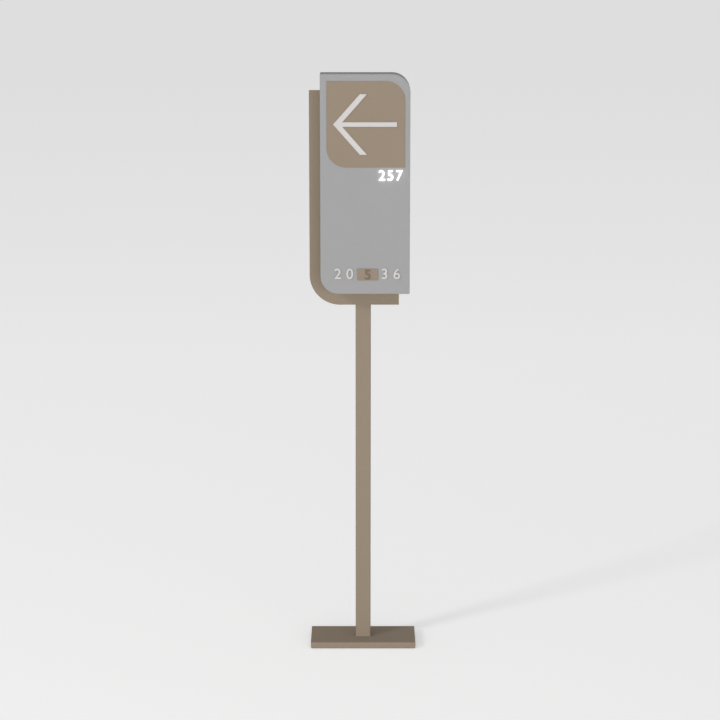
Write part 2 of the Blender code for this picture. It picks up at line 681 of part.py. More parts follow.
def build_head_joint():
    """Rivet nuts in the post, and the bolts and washers that reach them from inside the box."""
    pieces = []
    bore = HEAD_BOLT[0] + THREAD_PLAY
    bulb_top = -POST_WALL - 2 * SEAT_GAP
    bulb_low = bulb_top - RIVET_BULB_LENGTH
    tail = bulb_low - RIVET_TAIL_LENGTH
    rivet = [
        (RIVET_FLANGE_RADIUS, RIVET_FLANGE_THICKNESS), (RIVET_FLANGE_RADIUS, 0), (RIVET_BARREL_RADIUS, 0),
        (RIVET_BARREL_RADIUS, bulb_top), (RIVET_BULB_RADIUS, bulb_top - RIVET_BULB_LENGTH / 4),
        (RIVET_BULB_RADIUS, bulb_low + RIVET_BULB_LENGTH / 4), (RIVET_BARREL_RADIUS, bulb_low),
        (RIVET_BARREL_RADIUS, tail), (bore, tail), (bore, RIVET_FLANGE_THICKNESS),
    ]
    washer = [
        (WASHER_RADIUS, WASHER_THICKNESS), (WASHER_RADIUS, 0),
        (HEAD_BOLT[0] + SCREW_PLAY, 0), (HEAD_BOLT[0] + SCREW_PLAY, WASHER_THICKNESS),
    ]
    for index, z in enumerate(HEAD_BOLT_HEIGHTS):
        number = index + 1
        # the flange's underside lies a gap in front of the post's wall
        at = (0, POST_FACE - SEAT_GAP, z)
        pieces.append(turned_piece(f"rivet_nut_{number}", rivet, at, FORWARD, ZINC, closed=True))
        washer_at = (0, TRAY_FACE - SEAT_GAP, z)
        pieces.append(turned_piece(f"head_washer_{number}", washer, washer_at, FORWARD, ZINC, closed=True))
        bolt_at = (0, TRAY_FACE - SEAT_GAP - WASHER_THICKNESS, z)
        pieces.append(add_bolt(f"head_bolt_{number}", HEAD_BOLT, bolt_at, FORWARD))
    for index, (x, z) in enumerate(plate_screw_places()):
        at = (x, TRAY_FACE, z)
        pieces.append(add_bolt(f"plate_screw_{index + 1}", PLATE_SCREW, at, FORWARD, SCREW_STEPS))
    return pieces


def build_head_bush():
    """Rubber bush from the box through the rear plate into the post, with a lip behind the wall."""
    outer = HEAD_BUSH_RADIUS
    bore = outer - HEAD_BUSH_WALL
    flange = outer + HEAD_BUSH_FLANGE_WIDTH
    seat = TRAY_FACE - SEAT_GAP
    behind = POST_FACE + POST_WALL + SEAT_GAP
    reach = seat - behind
    lip = HEAD_HOLE_RADIUS + HEAD_BUSH_LIP
    profile = [
        (flange, HEAD_BUSH_FLANGE), (flange, 0), (outer, 0), (outer, reach), (lip, reach),
        (outer, reach - 3 * HEAD_BUSH_LIP), (bore, reach - 3 * HEAD_BUSH_LIP), (bore, HEAD_BUSH_FLANGE),
    ]
    return turned_piece("cable_bush", profile, (0, seat, HEAD_BUSH_Z), FORWARD, BLACK_RUBBER, True, HOLE_STEPS)


def edge_screw_places():
    """Points on the box's outside, with the way that each screw's head faces."""
    y = BOX_BACK - TRAY_FLANGE / 2
    low_arc = BOX_BOTTOM + BOX_CORNER + EDGE_SCREW_FROM_ARC
    high_arc = BOX_TOP - BOX_CORNER - EDGE_SCREW_FROM_ARC
    return [
        ((BOX_LEFT, y, low_arc), LEFTWARD),
        ((BOX_LEFT, y, BOX_TOP - EDGE_SCREW_MARGIN), LEFTWARD),
        ((BOX_RIGHT, y, BOX_BOTTOM + EDGE_SCREW_MARGIN), RIGHTWARD),
        ((BOX_RIGHT, y, high_arc), RIGHTWARD),
        ((BOX_LEFT + BOX_CORNER + EDGE_SCREW_FROM_ARC, y, BOX_BOTTOM), DOWNWARD),
        ((BOX_RIGHT - EDGE_SCREW_MARGIN, y, BOX_BOTTOM), DOWNWARD),
    ]


def folded_shell(name, inset, depth, open_side, middle_y, finish):
    """Folded sheet with returns all round: the box's outline, set in by some distance."""
    width, height = BOX_WIDTH - 2 * inset, BOX_HEIGHT - 2 * inset
    corner = BOX_CORNER - inset
    outline = rounded_rectangle(width, height, [corner, 0, corner, 0])
    mesh = flat_mesh(name, [outline], depth)
    shape = bmesh.new()
    shape.from_mesh(mesh)
    lids = [face for face in shape.faces if face.normal.z * open_side > 0.5]
    bmesh.ops.delete(shape, geom=lids, context="FACES")
    shape.to_mesh(mesh)
    shape.free()
    middle = ((BOX_LEFT + BOX_RIGHT) / 2, middle_y, (BOX_BOTTOM + BOX_TOP) / 2)
    shell = place(name, mesh, middle, FORWARD, finish)
    ease_edges(shell, BEND_RADIUS, segments=BEND_STEPS)
    wall = shell.modifiers.new("sheet", "SOLIDIFY")
    wall.thickness = SHEET
    wall.offset = -1
    wall.use_even_offset = True
    wall.use_rim = True
    return shell


def build_front_shell():
    """Face and returns in one folded sheet, with the studs that hold the light unit."""
    shell = folded_shell("front_shell", 0, BOX_DEPTH, -1, (BOX_BACK + BOX_FACE) / 2, GREY_PAINT)
    through = SHEET + 2 * CUT_PAST
    for index, (x, z) in enumerate(arrow_stud_places()):
        at = (x, BOX_FACE + SHEET / 2, z)
        tool = cylinder_tool(f"face_stud_hole_{index + 1}", STUD_RADIUS + SCREW_PLAY, through, at, FORWARD,
                             SCREW_STEPS)
        cut(shell, tool)
    sink = EDGE_SCREW_HEAD_RADIUS - EDGE_SCREW_RADIUS
    hole = EDGE_SCREW_RADIUS + SCREW_PLAY
    wide = EDGE_SCREW_HEAD_RADIUS + SCREW_PLAY
    countersink = [
        (0, CUT_PAST), (wide, CUT_PAST), (wide, -EDGE_SCREW_RIM - SEAT_GAP),
        (hole, -EDGE_SCREW_RIM - SEAT_GAP - sink), (hole, -SHEET - TRAY_PLAY / 2),
        (0, -SHEET - TRAY_PLAY / 2),
    ]
    for index, (at, facing) in enumerate(edge_screw_places()):
        cut(shell, turned_piece(f"edge_hole_{index + 1}", countersink, at, facing, steps=SCREW_STEPS))
    drain_y = BOX_FACE + DRAIN_FROM_FACE
    for index in range(DRAIN_COUNT):
        x = (BOX_LEFT + BOX_RIGHT) / 2 + (index - (DRAIN_COUNT - 1) / 2) * DRAIN_PITCH
        slot = rounded_rectangle(DRAIN_LENGTH, DRAIN_WIDTH, [DRAIN_END_RADIUS] * 4)
        tool = flat_mesh(f"drain_{index + 1}", [slot], through)
        cut(shell, place(f"drain_{index + 1}", tool, (x, drain_y, BOX_BOTTOM + SHEET / 2), DOWNWARD))
    for index, (x, z) in enumerate(cup_stud_places()):
        root = FACE_INSIDE - SHEET / 2
        tip = FACE_INSIDE + SEAT_GAP + CUP_EAR_THICKNESS + SEAT_GAP + NUT_HEIGHT + STUD_ROOT
        at = (x, (root + tip) / 2, z)
        fuse(shell, cylinder_tool(f"cup_stud_{index + 1}", STUD_RADIUS, tip - root, at, BACKWARD, SCREW_STEPS))
    return shell


def build_back_tray():
    """Folded tray nested in the shell's back, with every hole that its fasteners need."""
    inset = SHEET + TRAY_PLAY
    tray = folded_shell("back_tray", inset, TRAY_FLANGE, 1, BOX_BACK - TRAY_FLANGE / 2, GREY_PAINT)
    through = SHEET + 2 * CUT_PAST
    middle = (BOX_BACK + TRAY_FACE) / 2
    holes = [(0, z, HEAD_BOLT[0] + SCREW_PLAY) for z in HEAD_BOLT_HEIGHTS]
    holes += [(x, z, PLATE_SCREW[0] + SCREW_PLAY) for x, z in plate_screw_places()]
    holes += [(DRIVER_X, z, DRIVER_SCREW[0] + THREAD_PLAY) for z in driver_screw_heights()]
    holes += [(DRIVER_X, TERMINAL_Z, TERMINAL_SCREW[0] + THREAD_PLAY)]
    for index, (x, z, radius) in enumerate(holes):
        at = (x, middle, z)
        cut(tray, cylinder_tool(f"tray_hole_{index + 1}", radius, through, at, FORWARD, SCREW_STEPS))
    cable_at = (0, middle, HEAD_BUSH_Z)
    cut(tray, cylinder_tool("tray_cable_hole", HEAD_HOLE_RADIUS, through, cable_at, FORWARD, HOLE_STEPS))
    for index, (at, facing) in enumerate(edge_screw_places()):
        centre = Vector(at) + toward(facing, -inset - SHEET / 2)
        radius = EDGE_SCREW_RADIUS + THREAD_PLAY
        length = SHEET + 2 * TRAY_PLAY
        cut(tray, cylinder_tool(f"tray_tap_{index + 1}", radius, length, centre, facing, SCREW_STEPS))
    return tray


def build_edge_screws():
    """Countersunk screws, just below the surface, through the shell into the tray."""
    sink = EDGE_SCREW_HEAD_RADIUS - EDGE_SCREW_RADIUS
    profile = [
        (0, 0), (EDGE_SCREW_HEAD_RADIUS, 0), (EDGE_SCREW_HEAD_RADIUS, -EDGE_SCREW_RIM),
        (EDGE_SCREW_RADIUS, -EDGE_SCREW_RIM - sink), (EDGE_SCREW_RADIUS, -EDGE_SCREW_LENGTH),
        (0, -EDGE_SCREW_LENGTH),
    ]
    screws = []
    for index, (at, facing) in enumerate(edge_screw_places()):
        name = f"edge_screw_{index + 1}"
        screw = turned_piece(name, profile, at, facing, ZINC, steps=SCREW_STEPS)
        socket_at = Vector(at) + toward(facing, CUT_PAST / 2 - EDGE_SCREW_KEY_DEPTH / 2)
        length = EDGE_SCREW_KEY_DEPTH + CUT_PAST
        cut(screw, cylinder_tool(name + "_key", hexagon_radius(EDGE_SCREW_KEY), length, socket_at, facing, 6))
        screws.append(screw)
    return screws


def arrow_outline():
    """Arrow pointing left with its tip at the origin: a shaft and two arms with level ends."""
    slope = math.tan(math.radians(ARROW_HEAD_ANGLE))
    arm_run = ARROW_HEAD_RISE / slope
    arm_width = ARROW_STROKE / math.sin(math.radians(ARROW_HEAD_ANGLE))
    half = ARROW_STROKE / 2
    crotch = arm_width + half / slope
    upper = [(crotch, half), (arm_run + arm_width, ARROW_HEAD_RISE), (arm_run, ARROW_HEAD_RISE)]
    lower = [(x, -y) for x, y in reversed(upper)]
    return [(ARROW_LENGTH, -half), (ARROW_LENGTH, half)] + upper + [(0, 0)] + lower


def arrow_stud_places():
    """Places on the face of the arrow's studs: near each arm's end and near the tail."""
    slope = math.tan(math.radians(ARROW_HEAD_ANGLE))
    arm_width = ARROW_STROKE / math.sin(math.radians(ARROW_HEAD_ANGLE))
    rise = ARROW_HEAD_RISE - STUD_EDGE
    arm_x = rise / slope + arm_width / 2
    tip_x = INSET_LEFT + ARROW_MARGIN_LEFT
    return [
        (tip_x + arm_x, INSET_Z + rise), (tip_x + arm_x, INSET_Z - rise),
        (tip_x + ARROW_LENGTH - STUD_EDGE, INSET_Z),
    ]


def build_inset_plate():
    """Thin panel on the face, pierced for the arrow's studs."""
    outline = rounded_rectangle(INSET_WIDTH, INSET_HEIGHT, [INSET_CORNER, 0, INSET_CORNER, 0])
    mesh = flat_mesh("inset_plate", [outline], INSET_THICKNESS)
    middle_y = INSET_FACE + INSET_THICKNESS / 2
    at = ((INSET_LEFT + INSET_RIGHT) / 2, middle_y, INSET_Z)
    plate = place("inset_plate", mesh, at, FORWARD, TAUPE_PAINT)
    through = INSET_THICKNESS + 2 * CUT_PAST
    for index, (x, z) in enumerate(arrow_stud_places()):
        tool = cylinder_tool(f"inset_hole_{index + 1}", STUD_RADIUS + SCREW_PLAY, through, (x, middle_y, z),
                             FORWARD, SCREW_STEPS)
        cut(plate, tool)
    return plate


def build_arrow():
    """Raised arrow with studs through the inset and the face, and their nuts inside the box."""
    mesh = flat_mesh("arrow_plate", [arrow_outline()], ARROW_THICKNESS)
    at = (INSET_LEFT + ARROW_MARGIN_LEFT, ARROW_BACK - ARROW_THICKNESS / 2, INSET_Z)
    arrow = place("arrow_plate", mesh, at, FORWARD, OFF_WHITE_PAINT)
    ease_edges(arrow, ARROW_EDGE, angle=30)
    root = ARROW_BACK - ARROW_THICKNESS / 2
    tip = FACE_INSIDE + STUD_REACH
    nuts = []
    for index, (x, z) in enumerate(arrow_stud_places()):
        stud_at = (x, (root + tip) / 2, z)
        stud = cylinder_tool(f"arrow_stud_{index + 1}", STUD_RADIUS, tip - root, stud_at, BACKWARD, SCREW_STEPS)
        fuse(arrow, stud)
        nuts.append(add_nut(f"stud_nut_{index + 1}", (x, FACE_INSIDE, z), BACKWARD))
    return [arrow] + nuts


def cup_opening():
    """Width and height of the light unit's inside."""
    return LEGEND_WIDTH + 2 * CUP_MARGIN, LEGEND_HEIGHT + 2 * CUP_MARGIN


def cup_stud_places():
    """Places on the face of the four studs that hold the light unit."""
    width, height = cup_opening()
    reach_x = width / 2 - CUP_EAR_INDENT
    reach_z = height / 2 + CUP_WALL + CUP_EAR_RADIUS
    return [(LEGEND_X + x * reach_x, LEGEND_Z + z * reach_z) for x in (-1, 1) for z in (-1, 1)]


def build_light_cup():
    """Moulded cup behind the legend, with a ledge for the diffuser and four ears on the studs."""
    width, height = cup_opening()
    front = FACE_INSIDE + SEAT_GAP
    back = front + CUP_DEPTH
    outer = rounded_rectangle(width + 2 * CUP_WALL, height + 2 * CUP_WALL, [CUP_CORNER] * 4)
    mesh = flat_mesh("light_cup", [outer], CUP_DEPTH)
    cup = place("light_cup", mesh, (LEGEND_X, (front + back) / 2, LEGEND_Z), FORWARD, WHITE_PLASTIC)
    for index, (x, z) in enumerate(cup_stud_places()):
        above = z > LEGEND_Z
        ear_height = 2 * CUP_EAR_RADIUS + CUP_WALL / 2
        lift = CUP_WALL / 4 if above else -CUP_WALL / 4
        round_end, square_end = [CUP_EAR_ROUND] * 2, [0, 0]
        radii = square_end + round_end if above else round_end + square_end
        ear = flat_mesh("cup_ear", [rounded_rectangle(2 * CUP_EAR_RADIUS, ear_height, radii)],
                        CUP_EAR_THICKNESS - SEAT_GAP)
        ear_y = front + (CUP_EAR_THICKNESS + SEAT_GAP) / 2
        fuse(cup, place(f"cup_ear_{index + 1}", ear, (x, ear_y, z - lift), FORWARD))
    depth = CUP_DEPTH - CUP_WALL + CUT_PAST
    hollow = box_tool("cup_hollow", (width, depth, height), (LEGEND_X, back - CUP_WALL - depth / 2, LEGEND_Z))
    cut(cup, hollow)
    ledge_depth = DIFFUSER_THICKNESS + SEAT_GAP + CUT_PAST
    ledge_size = (width + 2 * DIFFUSER_LEDGE, ledge_depth, height + 2 * DIFFUSER_LEDGE)
    ledge_at = (LEGEND_X, front - CUT_PAST + ledge_depth / 2, LEGEND_Z)
    cut(cup, box_tool("cup_ledge", ledge_size, ledge_at))
    for index, (x, z) in enumerate(cup_stud_places()):
        hole = cylinder_tool(f"cup_ear_hole_{index + 1}", STUD_RADIUS + SCREW_PLAY,
                             CUP_EAR_THICKNESS + 2 * CUT_PAST, (x, front + CUP_EAR_THICKNESS / 2, z), FORWARD,
                             SCREW_STEPS)
        cut(cup, hole)
    lead_hole = cylinder_tool("cup_lead_hole", LEAD_RADIUS + SCREW_PLAY, CUP_WALL + 2 * CUT_PAST,
                              (LEGEND_X, back - CUP_WALL / 2, LEGEND_Z), FORWARD)
    cut(cup, lead_hole)
    nuts = []
    for index, (x, z) in enumerate(cup_stud_places()):
        nuts.append(add_nut(f"cup_nut_{index + 1}", (x, front + CUP_EAR_THICKNESS, z), BACKWARD))
    return [cup] + nuts


def cup_floor():
    """Depth of the face of the light unit's floor."""
    return FACE_INSIDE + SEAT_GAP + CUP_DEPTH - CUP_WALL


def build_diffuser():
    """Opal sheet on the ledge of the light unit, against the back of the face."""
    width, height = cup_opening()
    grow = 2 * (DIFFUSER_LEDGE - SLIDE_PLAY)
    size = (width + grow, DIFFUSER_THICKNESS, height + grow)
    at = (LEGEND_X, FACE_INSIDE + SEAT_GAP + DIFFUSER_THICKNESS / 2, LEGEND_Z)
    return place("led_diffuser", box_mesh("led_diffuser", size), at, UPWARD, OPAL_ACRYLIC)


def build_board():
    """Circuit board on the light unit's floor, with its lamps facing the legend."""
    width, height = cup_opening()
    back = cup_floor() - SEAT_GAP
    size = (width - 2 * BOARD_MARGIN, BOARD_THICKNESS, height - 2 * BOARD_MARGIN)
    board = place("led_board", box_mesh("led_board", size), (LEGEND_X, back - size[1] / 2, LEGEND_Z), UPWARD,
                  CIRCUIT_BOARD)
    lamp_length = LAMP_HEIGHT + size[1] / 2
    for column in range(LAMP_COLUMNS):
        for row in range(LAMP_ROWS):
            x = LEGEND_X + size[0] * ((column + 0.5) / LAMP_COLUMNS - 0.5)
            z = LEGEND_Z + size[2] * ((row + 0.5) / LAMP_ROWS - 0.5)
            at = (x, back - size[1] - LAMP_HEIGHT + lamp_length / 2, z)
            fuse(board, box_tool(f"lamp_{column}_{row}", (LAMP_SIDE, lamp_length, LAMP_SIDE), at))
    return board


def driver_screw_heights():
    """Heights of the two screws in the power supply's feet."""
    reach = DRIVER_LENGTH / 2 + DRIVER_FOOT_LENGTH / 2
    return [DRIVER_Z - reach, DRIVER_Z + reach]


def build_driver():
    """Power supply: an eased case on a thin sole that runs out to a foot at each end."""
    back = TRAY_FACE - SEAT_GAP
    case_back = back - DRIVER_FOOT_THICKNESS / 2
    size = (DRIVER_WIDTH, DRIVER_HEIGHT - DRIVER_FOOT_THICKNESS / 2, DRIVER_LENGTH)
    driver = place("led_driver", box_mesh("led_driver", size), (DRIVER_X, case_back - size[1] / 2, DRIVER_Z),
                   UPWARD, DRIVER_CASE)
    ease_edges(driver, DRIVER_EDGE)
    sole_size = (DRIVER_WIDTH - 2 * DRIVER_EDGE, DRIVER_FOOT_THICKNESS, DRIVER_LENGTH + 2 * DRIVER_FOOT_LENGTH)
    sole = box_tool("driver_sole", sole_size, (DRIVER_X, back - DRIVER_FOOT_THICKNESS / 2, DRIVER_Z))
    fuse(driver, sole)
    pieces = [driver]
    for index, z in enumerate(driver_screw_heights()):
        through = DRIVER_FOOT_THICKNESS + 2 * CUT_PAST
        hole = cylinder_tool(f"driver_hole_{index + 1}", DRIVER_SCREW[0] + SCREW_PLAY, through,
                             (DRIVER_X, back - DRIVER_FOOT_THICKNESS / 2, z), FORWARD, SCREW_STEPS)
        cut(driver, hole)
        seat = (DRIVER_X, back - DRIVER_FOOT_THICKNESS, z)
        pieces.append(add_bolt(f"driver_screw_{index + 1}", DRIVER_SCREW, seat, FORWARD, SCREW_STEPS))
    return pieces


def build_terminal():
    """Two-pole terminal block where the supply cable ends, with one screw in its middle."""
    back = TRAY_FACE - SEAT_GAP
    front = back - TERMINAL_DEPTH
    size = (TERMINAL_WIDTH, TERMINAL_DEPTH, TERMINAL_HEIGHT)
    at = (DRIVER_X, (back + front) / 2, TERMINAL_Z)
    block = place("terminal_block", box_mesh("terminal_block", size), at, UPWARD, WHITE_PLASTIC)
    ease_edges(block, TERMINAL_EDGE)
    seat = back - TERMINAL_SEAT
    step = [
        (0, TERMINAL_DEPTH + CUT_PAST), (TERMINAL_SCREW[2] + SCREW_PLAY, TERMINAL_DEPTH + CUT_PAST),
        (TERMINAL_SCREW[2] + SCREW_PLAY, TERMINAL_SEAT), (TERMINAL_SCREW[0] + SCREW_PLAY, TERMINAL_SEAT),
        (TERMINAL_SCREW[0] + SCREW_PLAY, -CUT_PAST), (0, -CUT_PAST),
    ]
    cut(block, turned_piece("terminal_hole", step, (DRIVER_X, back, TERMINAL_Z), FORWARD, steps=SCREW_STEPS))
    for side in (-1, 1):
        x = DRIVER_X + side * TERMINAL_POLE_PITCH / 2
        well_length = TERMINAL_WELL_DEPTH + CUT_PAST
        well = cylinder_tool(f"terminal_well_{side}", TERMINAL_WELL_RADIUS, well_length,
                             (x, front - CUT_PAST + well_length / 2, TERMINAL_Z), FORWARD, SCREW_STEPS)
        cut(block, well)
        wire = cylinder_tool(f"terminal_wire_{side}", TERMINAL_WIRE_RADIUS, TERMINAL_HEIGHT + 2 * CUT_PAST,
                             (x, back - TERMINAL_SEAT / 2 - TERMINAL_WIRE_RADIUS, TERMINAL_Z), UPWARD,
                             SCREW_STEPS)
        cut(block, wire)
    screw = add_bolt("terminal_screw", TERMINAL_SCREW, (DRIVER_X, seat, TERMINAL_Z), FORWARD, SCREW_STEPS)
    return [block, screw]


def smooth_route(stops, spacing):
    """Points at an even spacing along a smooth curve through the stops."""
    stops = [Vector(stop) for stop in stops]
    padded = [2 * stops[0] - stops[1]] + stops + [2 * stops[-1] - stops[-2]]
    fine = []
    parts = 16
    for before, start, end, after in zip(padded, padded[1:], padded[2:], padded[3:]):
        for part in range(parts):
            t = part / parts
            fine.append(0.5 * (
                2 * start + (end - before) * t + (2 * before - 5 * start + 4 * end - after) * t ** 2
                + (3 * start - before - 3 * end + after) * t ** 3
            ))
    fine.append(stops[-1])
    lengths = [0]
    for first, second in zip(fine, fine[1:]):
        lengths.append(lengths[-1] + (second - first).length)
    count = round(lengths[-1] / spacing)
    points = []
    place_on = 0
    for index in range(count):
        target = lengths[-1] * index / count
        while lengths[place_on + 1] < target:
            place_on += 1
        share = (target - lengths[place_on]) / (lengths[place_on + 1] - lengths[place_on])
        points.append(fine[place_on].lerp(fine[place_on + 1], share))
    points.append(fine[-1])
    return points


def lead_stops():
    """Stops of the lead: out of the power supply, along the tray through two clips, into the cup."""
    driver_y = TRAY_FACE - SEAT_GAP - DRIVER_HEIGHT / 2
    driver_top = DRIVER_Z + DRIVER_LENGTH / 2 + SEAT_GAP
    board_back = cup_floor()
    clip_1, clip_2 = clip_places()
    start_x = DRIVER_X
    return [
        (start_x, driver_y, driver_top),
        (start_x, driver_y, driver_top + 10 * MM),
        (start_x + 4 * MM, driver_y + 2 * MM, driver_top + 24 * MM),
        (start_x + 18 * MM, LEAD_Y - 2 * MM, LEAD_Z - 6 * MM),
        (clip_1 - 26 * MM, LEAD_Y, LEAD_Z - 0.5 * MM),
        (clip_1 - 10 * MM, LEAD_Y, LEAD_Z),
        (clip_1, LEAD_Y, LEAD_Z),
        (clip_1 + 10 * MM, LEAD_Y, LEAD_Z),
        (clip_2 - 10 * MM, LEAD_Y, LEAD_Z),
        (clip_2, LEAD_Y, LEAD_Z),
        (clip_2 + 10 * MM, LEAD_Y, LEAD_Z),
        (clip_2 + 24 * MM, LEAD_Y, LEAD_Z + 3 * MM),
        (LEGEND_X - 10 * MM, LEAD_Y - 3 * MM, LEAD_Z + 22 * MM),
        (LEGEND_X - 2 * MM, LEAD_Y - 8 * MM, LEGEND_Z - 20 * MM),
        (LEGEND_X, (LEAD_Y + board_back) / 2, LEGEND_Z - 1 * MM),
        (LEGEND_X, board_back + 10 * MM, LEGEND_Z),
        (LEGEND_X, board_back, LEGEND_Z),
    ]


def clip_places():
    """Places along X of the two clips."""
    return [LEAD_REST_X - 2 * LEAD_HALF_RUN, LEAD_REST_X]


def build_lead():
    """Lead from the power supply to the board, and the clips that hold it to the tray."""
    points = smooth_route(lead_stops(), LEAD_SPACING)
    curve = bpy.data.curves.new("led_lead", "CURVE")
    curve.dimensions = "3D"
    curve.bevel_depth = LEAD_RADIUS
    curve.bevel_resolution = 2
    curve.use_fill_caps = True
    spline = curve.splines.new("POLY")
    spline.points.add(len(points) - 1)
    for spline_point, point in zip(spline.points, points):
        spline_point.co = (*point, 1)
    pieces = [place("led_lead", curve, (0, 0, 0), UPWARD, BLACK_SHEATH)]
    bore = LEAD_RADIUS + SEAT_GAP
    back = TRAY_FACE - SEAT_GAP
    for index, x in enumerate(clip_places()):
        name = f"lead_clip_{index + 1}"
        base_size = (CLIP_LENGTH, CLIP_BASE_THICKNESS, CLIP_BASE_WIDTH)
        base_at = (x, back - CLIP_BASE_THICKNESS / 2, LEAD_Z)
        clip = place(name, box_mesh(name, base_size), base_at, UPWARD, WHITE_PLASTIC)
        fuse(clip, cylinder_tool(name + "_ring", bore + CLIP_WALL, CLIP_LENGTH, (x, LEAD_Y, LEAD_Z), RIGHTWARD))
        long_cut = CLIP_LENGTH + 2 * CUT_PAST
        cut(clip, cylinder_tool(name + "_bore", bore, long_cut, (x, LEAD_Y, LEAD_Z), RIGHTWARD))
        mouth_size = (long_cut, 2 * bore, CLIP_MOUTH)
        cut(clip, box_tool(name + "_mouth", mouth_size, (x, LEAD_Y - bore, LEAD_Z)))
        pieces.append(clip)
    return pieces


def build_sign():
    """Builds every piece and parents each assembly to its empty."""
    base = [build_mat(), build_base_plate(), build_foot_block(), build_foot_bush()]
    group("base_group", base + build_foot_fasteners())
    group("post_group", [build_post(), build_post_cap()], (0, 0, POST_BOTTOM))
    head = [build_rear_plate(), build_head_bush()] + build_head_joint()
    group("head_group", head, (0, POST_FACE, REAR_BOTTOM))
    box = [build_back_tray(), build_front_shell(), build_inset_plate()]
    box += build_edge_screws() + build_arrow()
    group("box_group", box, (BOX_LEFT, BOX_BACK, BOX_BOTTOM))
    light = build_light_cup() + [build_diffuser(), build_board()]
    light += build_driver() + build_terminal() + build_lead()
    group("light_group", light, (0, TRAY_FACE, BOX_BOTTOM))


build_sign()
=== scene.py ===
"""Dresses the free-standing directional sign: finishes, finer sheet metal, numbers and a plain studio.

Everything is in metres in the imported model's frame: +X is right, -Y is the side that is read, +Z is up.
"""
import json
import logging
import math
from dataclasses import dataclass, replace
from enum import Enum
from functools import cached_property
from typing import Any, Callable, Iterable, Sequence

import bmesh
import bpy
from mathutils import Euler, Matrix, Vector


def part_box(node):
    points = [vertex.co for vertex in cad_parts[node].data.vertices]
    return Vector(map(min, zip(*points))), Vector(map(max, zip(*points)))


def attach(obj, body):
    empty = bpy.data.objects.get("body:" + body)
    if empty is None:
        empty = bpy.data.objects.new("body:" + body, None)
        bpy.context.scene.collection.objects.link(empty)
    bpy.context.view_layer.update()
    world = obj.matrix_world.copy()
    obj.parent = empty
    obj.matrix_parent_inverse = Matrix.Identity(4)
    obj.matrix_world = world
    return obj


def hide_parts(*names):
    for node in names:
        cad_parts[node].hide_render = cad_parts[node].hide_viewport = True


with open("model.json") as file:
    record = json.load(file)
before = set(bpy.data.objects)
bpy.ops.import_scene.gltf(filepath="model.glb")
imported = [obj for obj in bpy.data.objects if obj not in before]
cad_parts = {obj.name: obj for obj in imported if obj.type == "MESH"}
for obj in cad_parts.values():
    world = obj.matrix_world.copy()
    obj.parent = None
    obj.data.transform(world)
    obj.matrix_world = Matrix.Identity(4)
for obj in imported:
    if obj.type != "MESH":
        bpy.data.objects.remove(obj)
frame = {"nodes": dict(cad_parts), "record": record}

LOG = logging.getLogger("directional_sign")
MM = 0.001
ROOT_BODY = "root"
SMOOTH_BELOW = math.radians(32)
HOLE_STEPS = 40
SMALL_HOLE_STEPS = 24
CORNER_STEPS = 24
EDGE_STEPS = 3
MERGE = 0.01 * MM
PARALLEL = 0.99
Colour = tuple[float, float, float]
Point = tuple[float, float, float]


class Facing(Enum):
    """Turns that bring a piece's own +Z to a direction."""

    UPWARD = (0.0, 0.0, 0.0)
    DOWNWARD = (math.pi, 0.0, 0.0)
    FORWARD = (math.pi / 2, 0.0, 0.0)
    BACKWARD = (-math.pi / 2, 0.0, 0.0)
    LEFTWARD = (0.0, -math.pi / 2, 0.0)
    RIGHTWARD = (0.0, math.pi / 2, 0.0)


# Shading
def math_method(operation: str, reflected: bool = False) -> Callable[..., "Socket"]:
    """Makes a method for Socket that adds a Math node.

    Args:
        operation: Blender's name of the operation.
        reflected: Whether the socket itself is the last operand.

    Returns:
        The method, which takes the other operands and returns the node's result.
    """

    def method(socket: "Socket", *others: Any) -> "Socket":
        """Adds the node."""
        operands = (*others, socket) if reflected else (socket, *others)
        return socket.shader.add("ShaderNodeMath", {"operation": operation}, dict(enumerate(operands)))

    return method


class Socket:
    """An output of a shader node, on which Python's arithmetic adds Math nodes."""

    def __init__(self, shader: "Shader", output: bpy.types.NodeSocket) -> None:
        """Wraps the output of a node of the shader."""
        self.shader = shader
        self.output = output

    __add__, __radd__ = math_method("ADD"), math_method("ADD", reflected=True)
    __sub__, __rsub__ = math_method("SUBTRACT"), math_method("SUBTRACT", reflected=True)
    __mul__, __rmul__ = math_method("MULTIPLY"), math_method("MULTIPLY", reflected=True)
    __truediv__, __rtruediv__ = math_method("DIVIDE"), math_method("DIVIDE", reflected=True)
    __abs__ = math_method("ABSOLUTE")
    at_least = math_method("MAXIMUM")
    at_most = math_method("MINIMUM")
    sine = math_method("SINE")

    def rise(self, start: float, end: float, low: float = 0.0, high: float = 1.0,
             kind: str = "SMOOTHSTEP") -> "Socket":
        """Steps the value from low at the start, which may be above the end, to high at the end."""
        settings = {"interpolation_type": kind, "clamp": True}
        return self.shader.add("ShaderNodeMapRange", settings, {0: self, 1: start, 2: end, 3: low, 4: high})


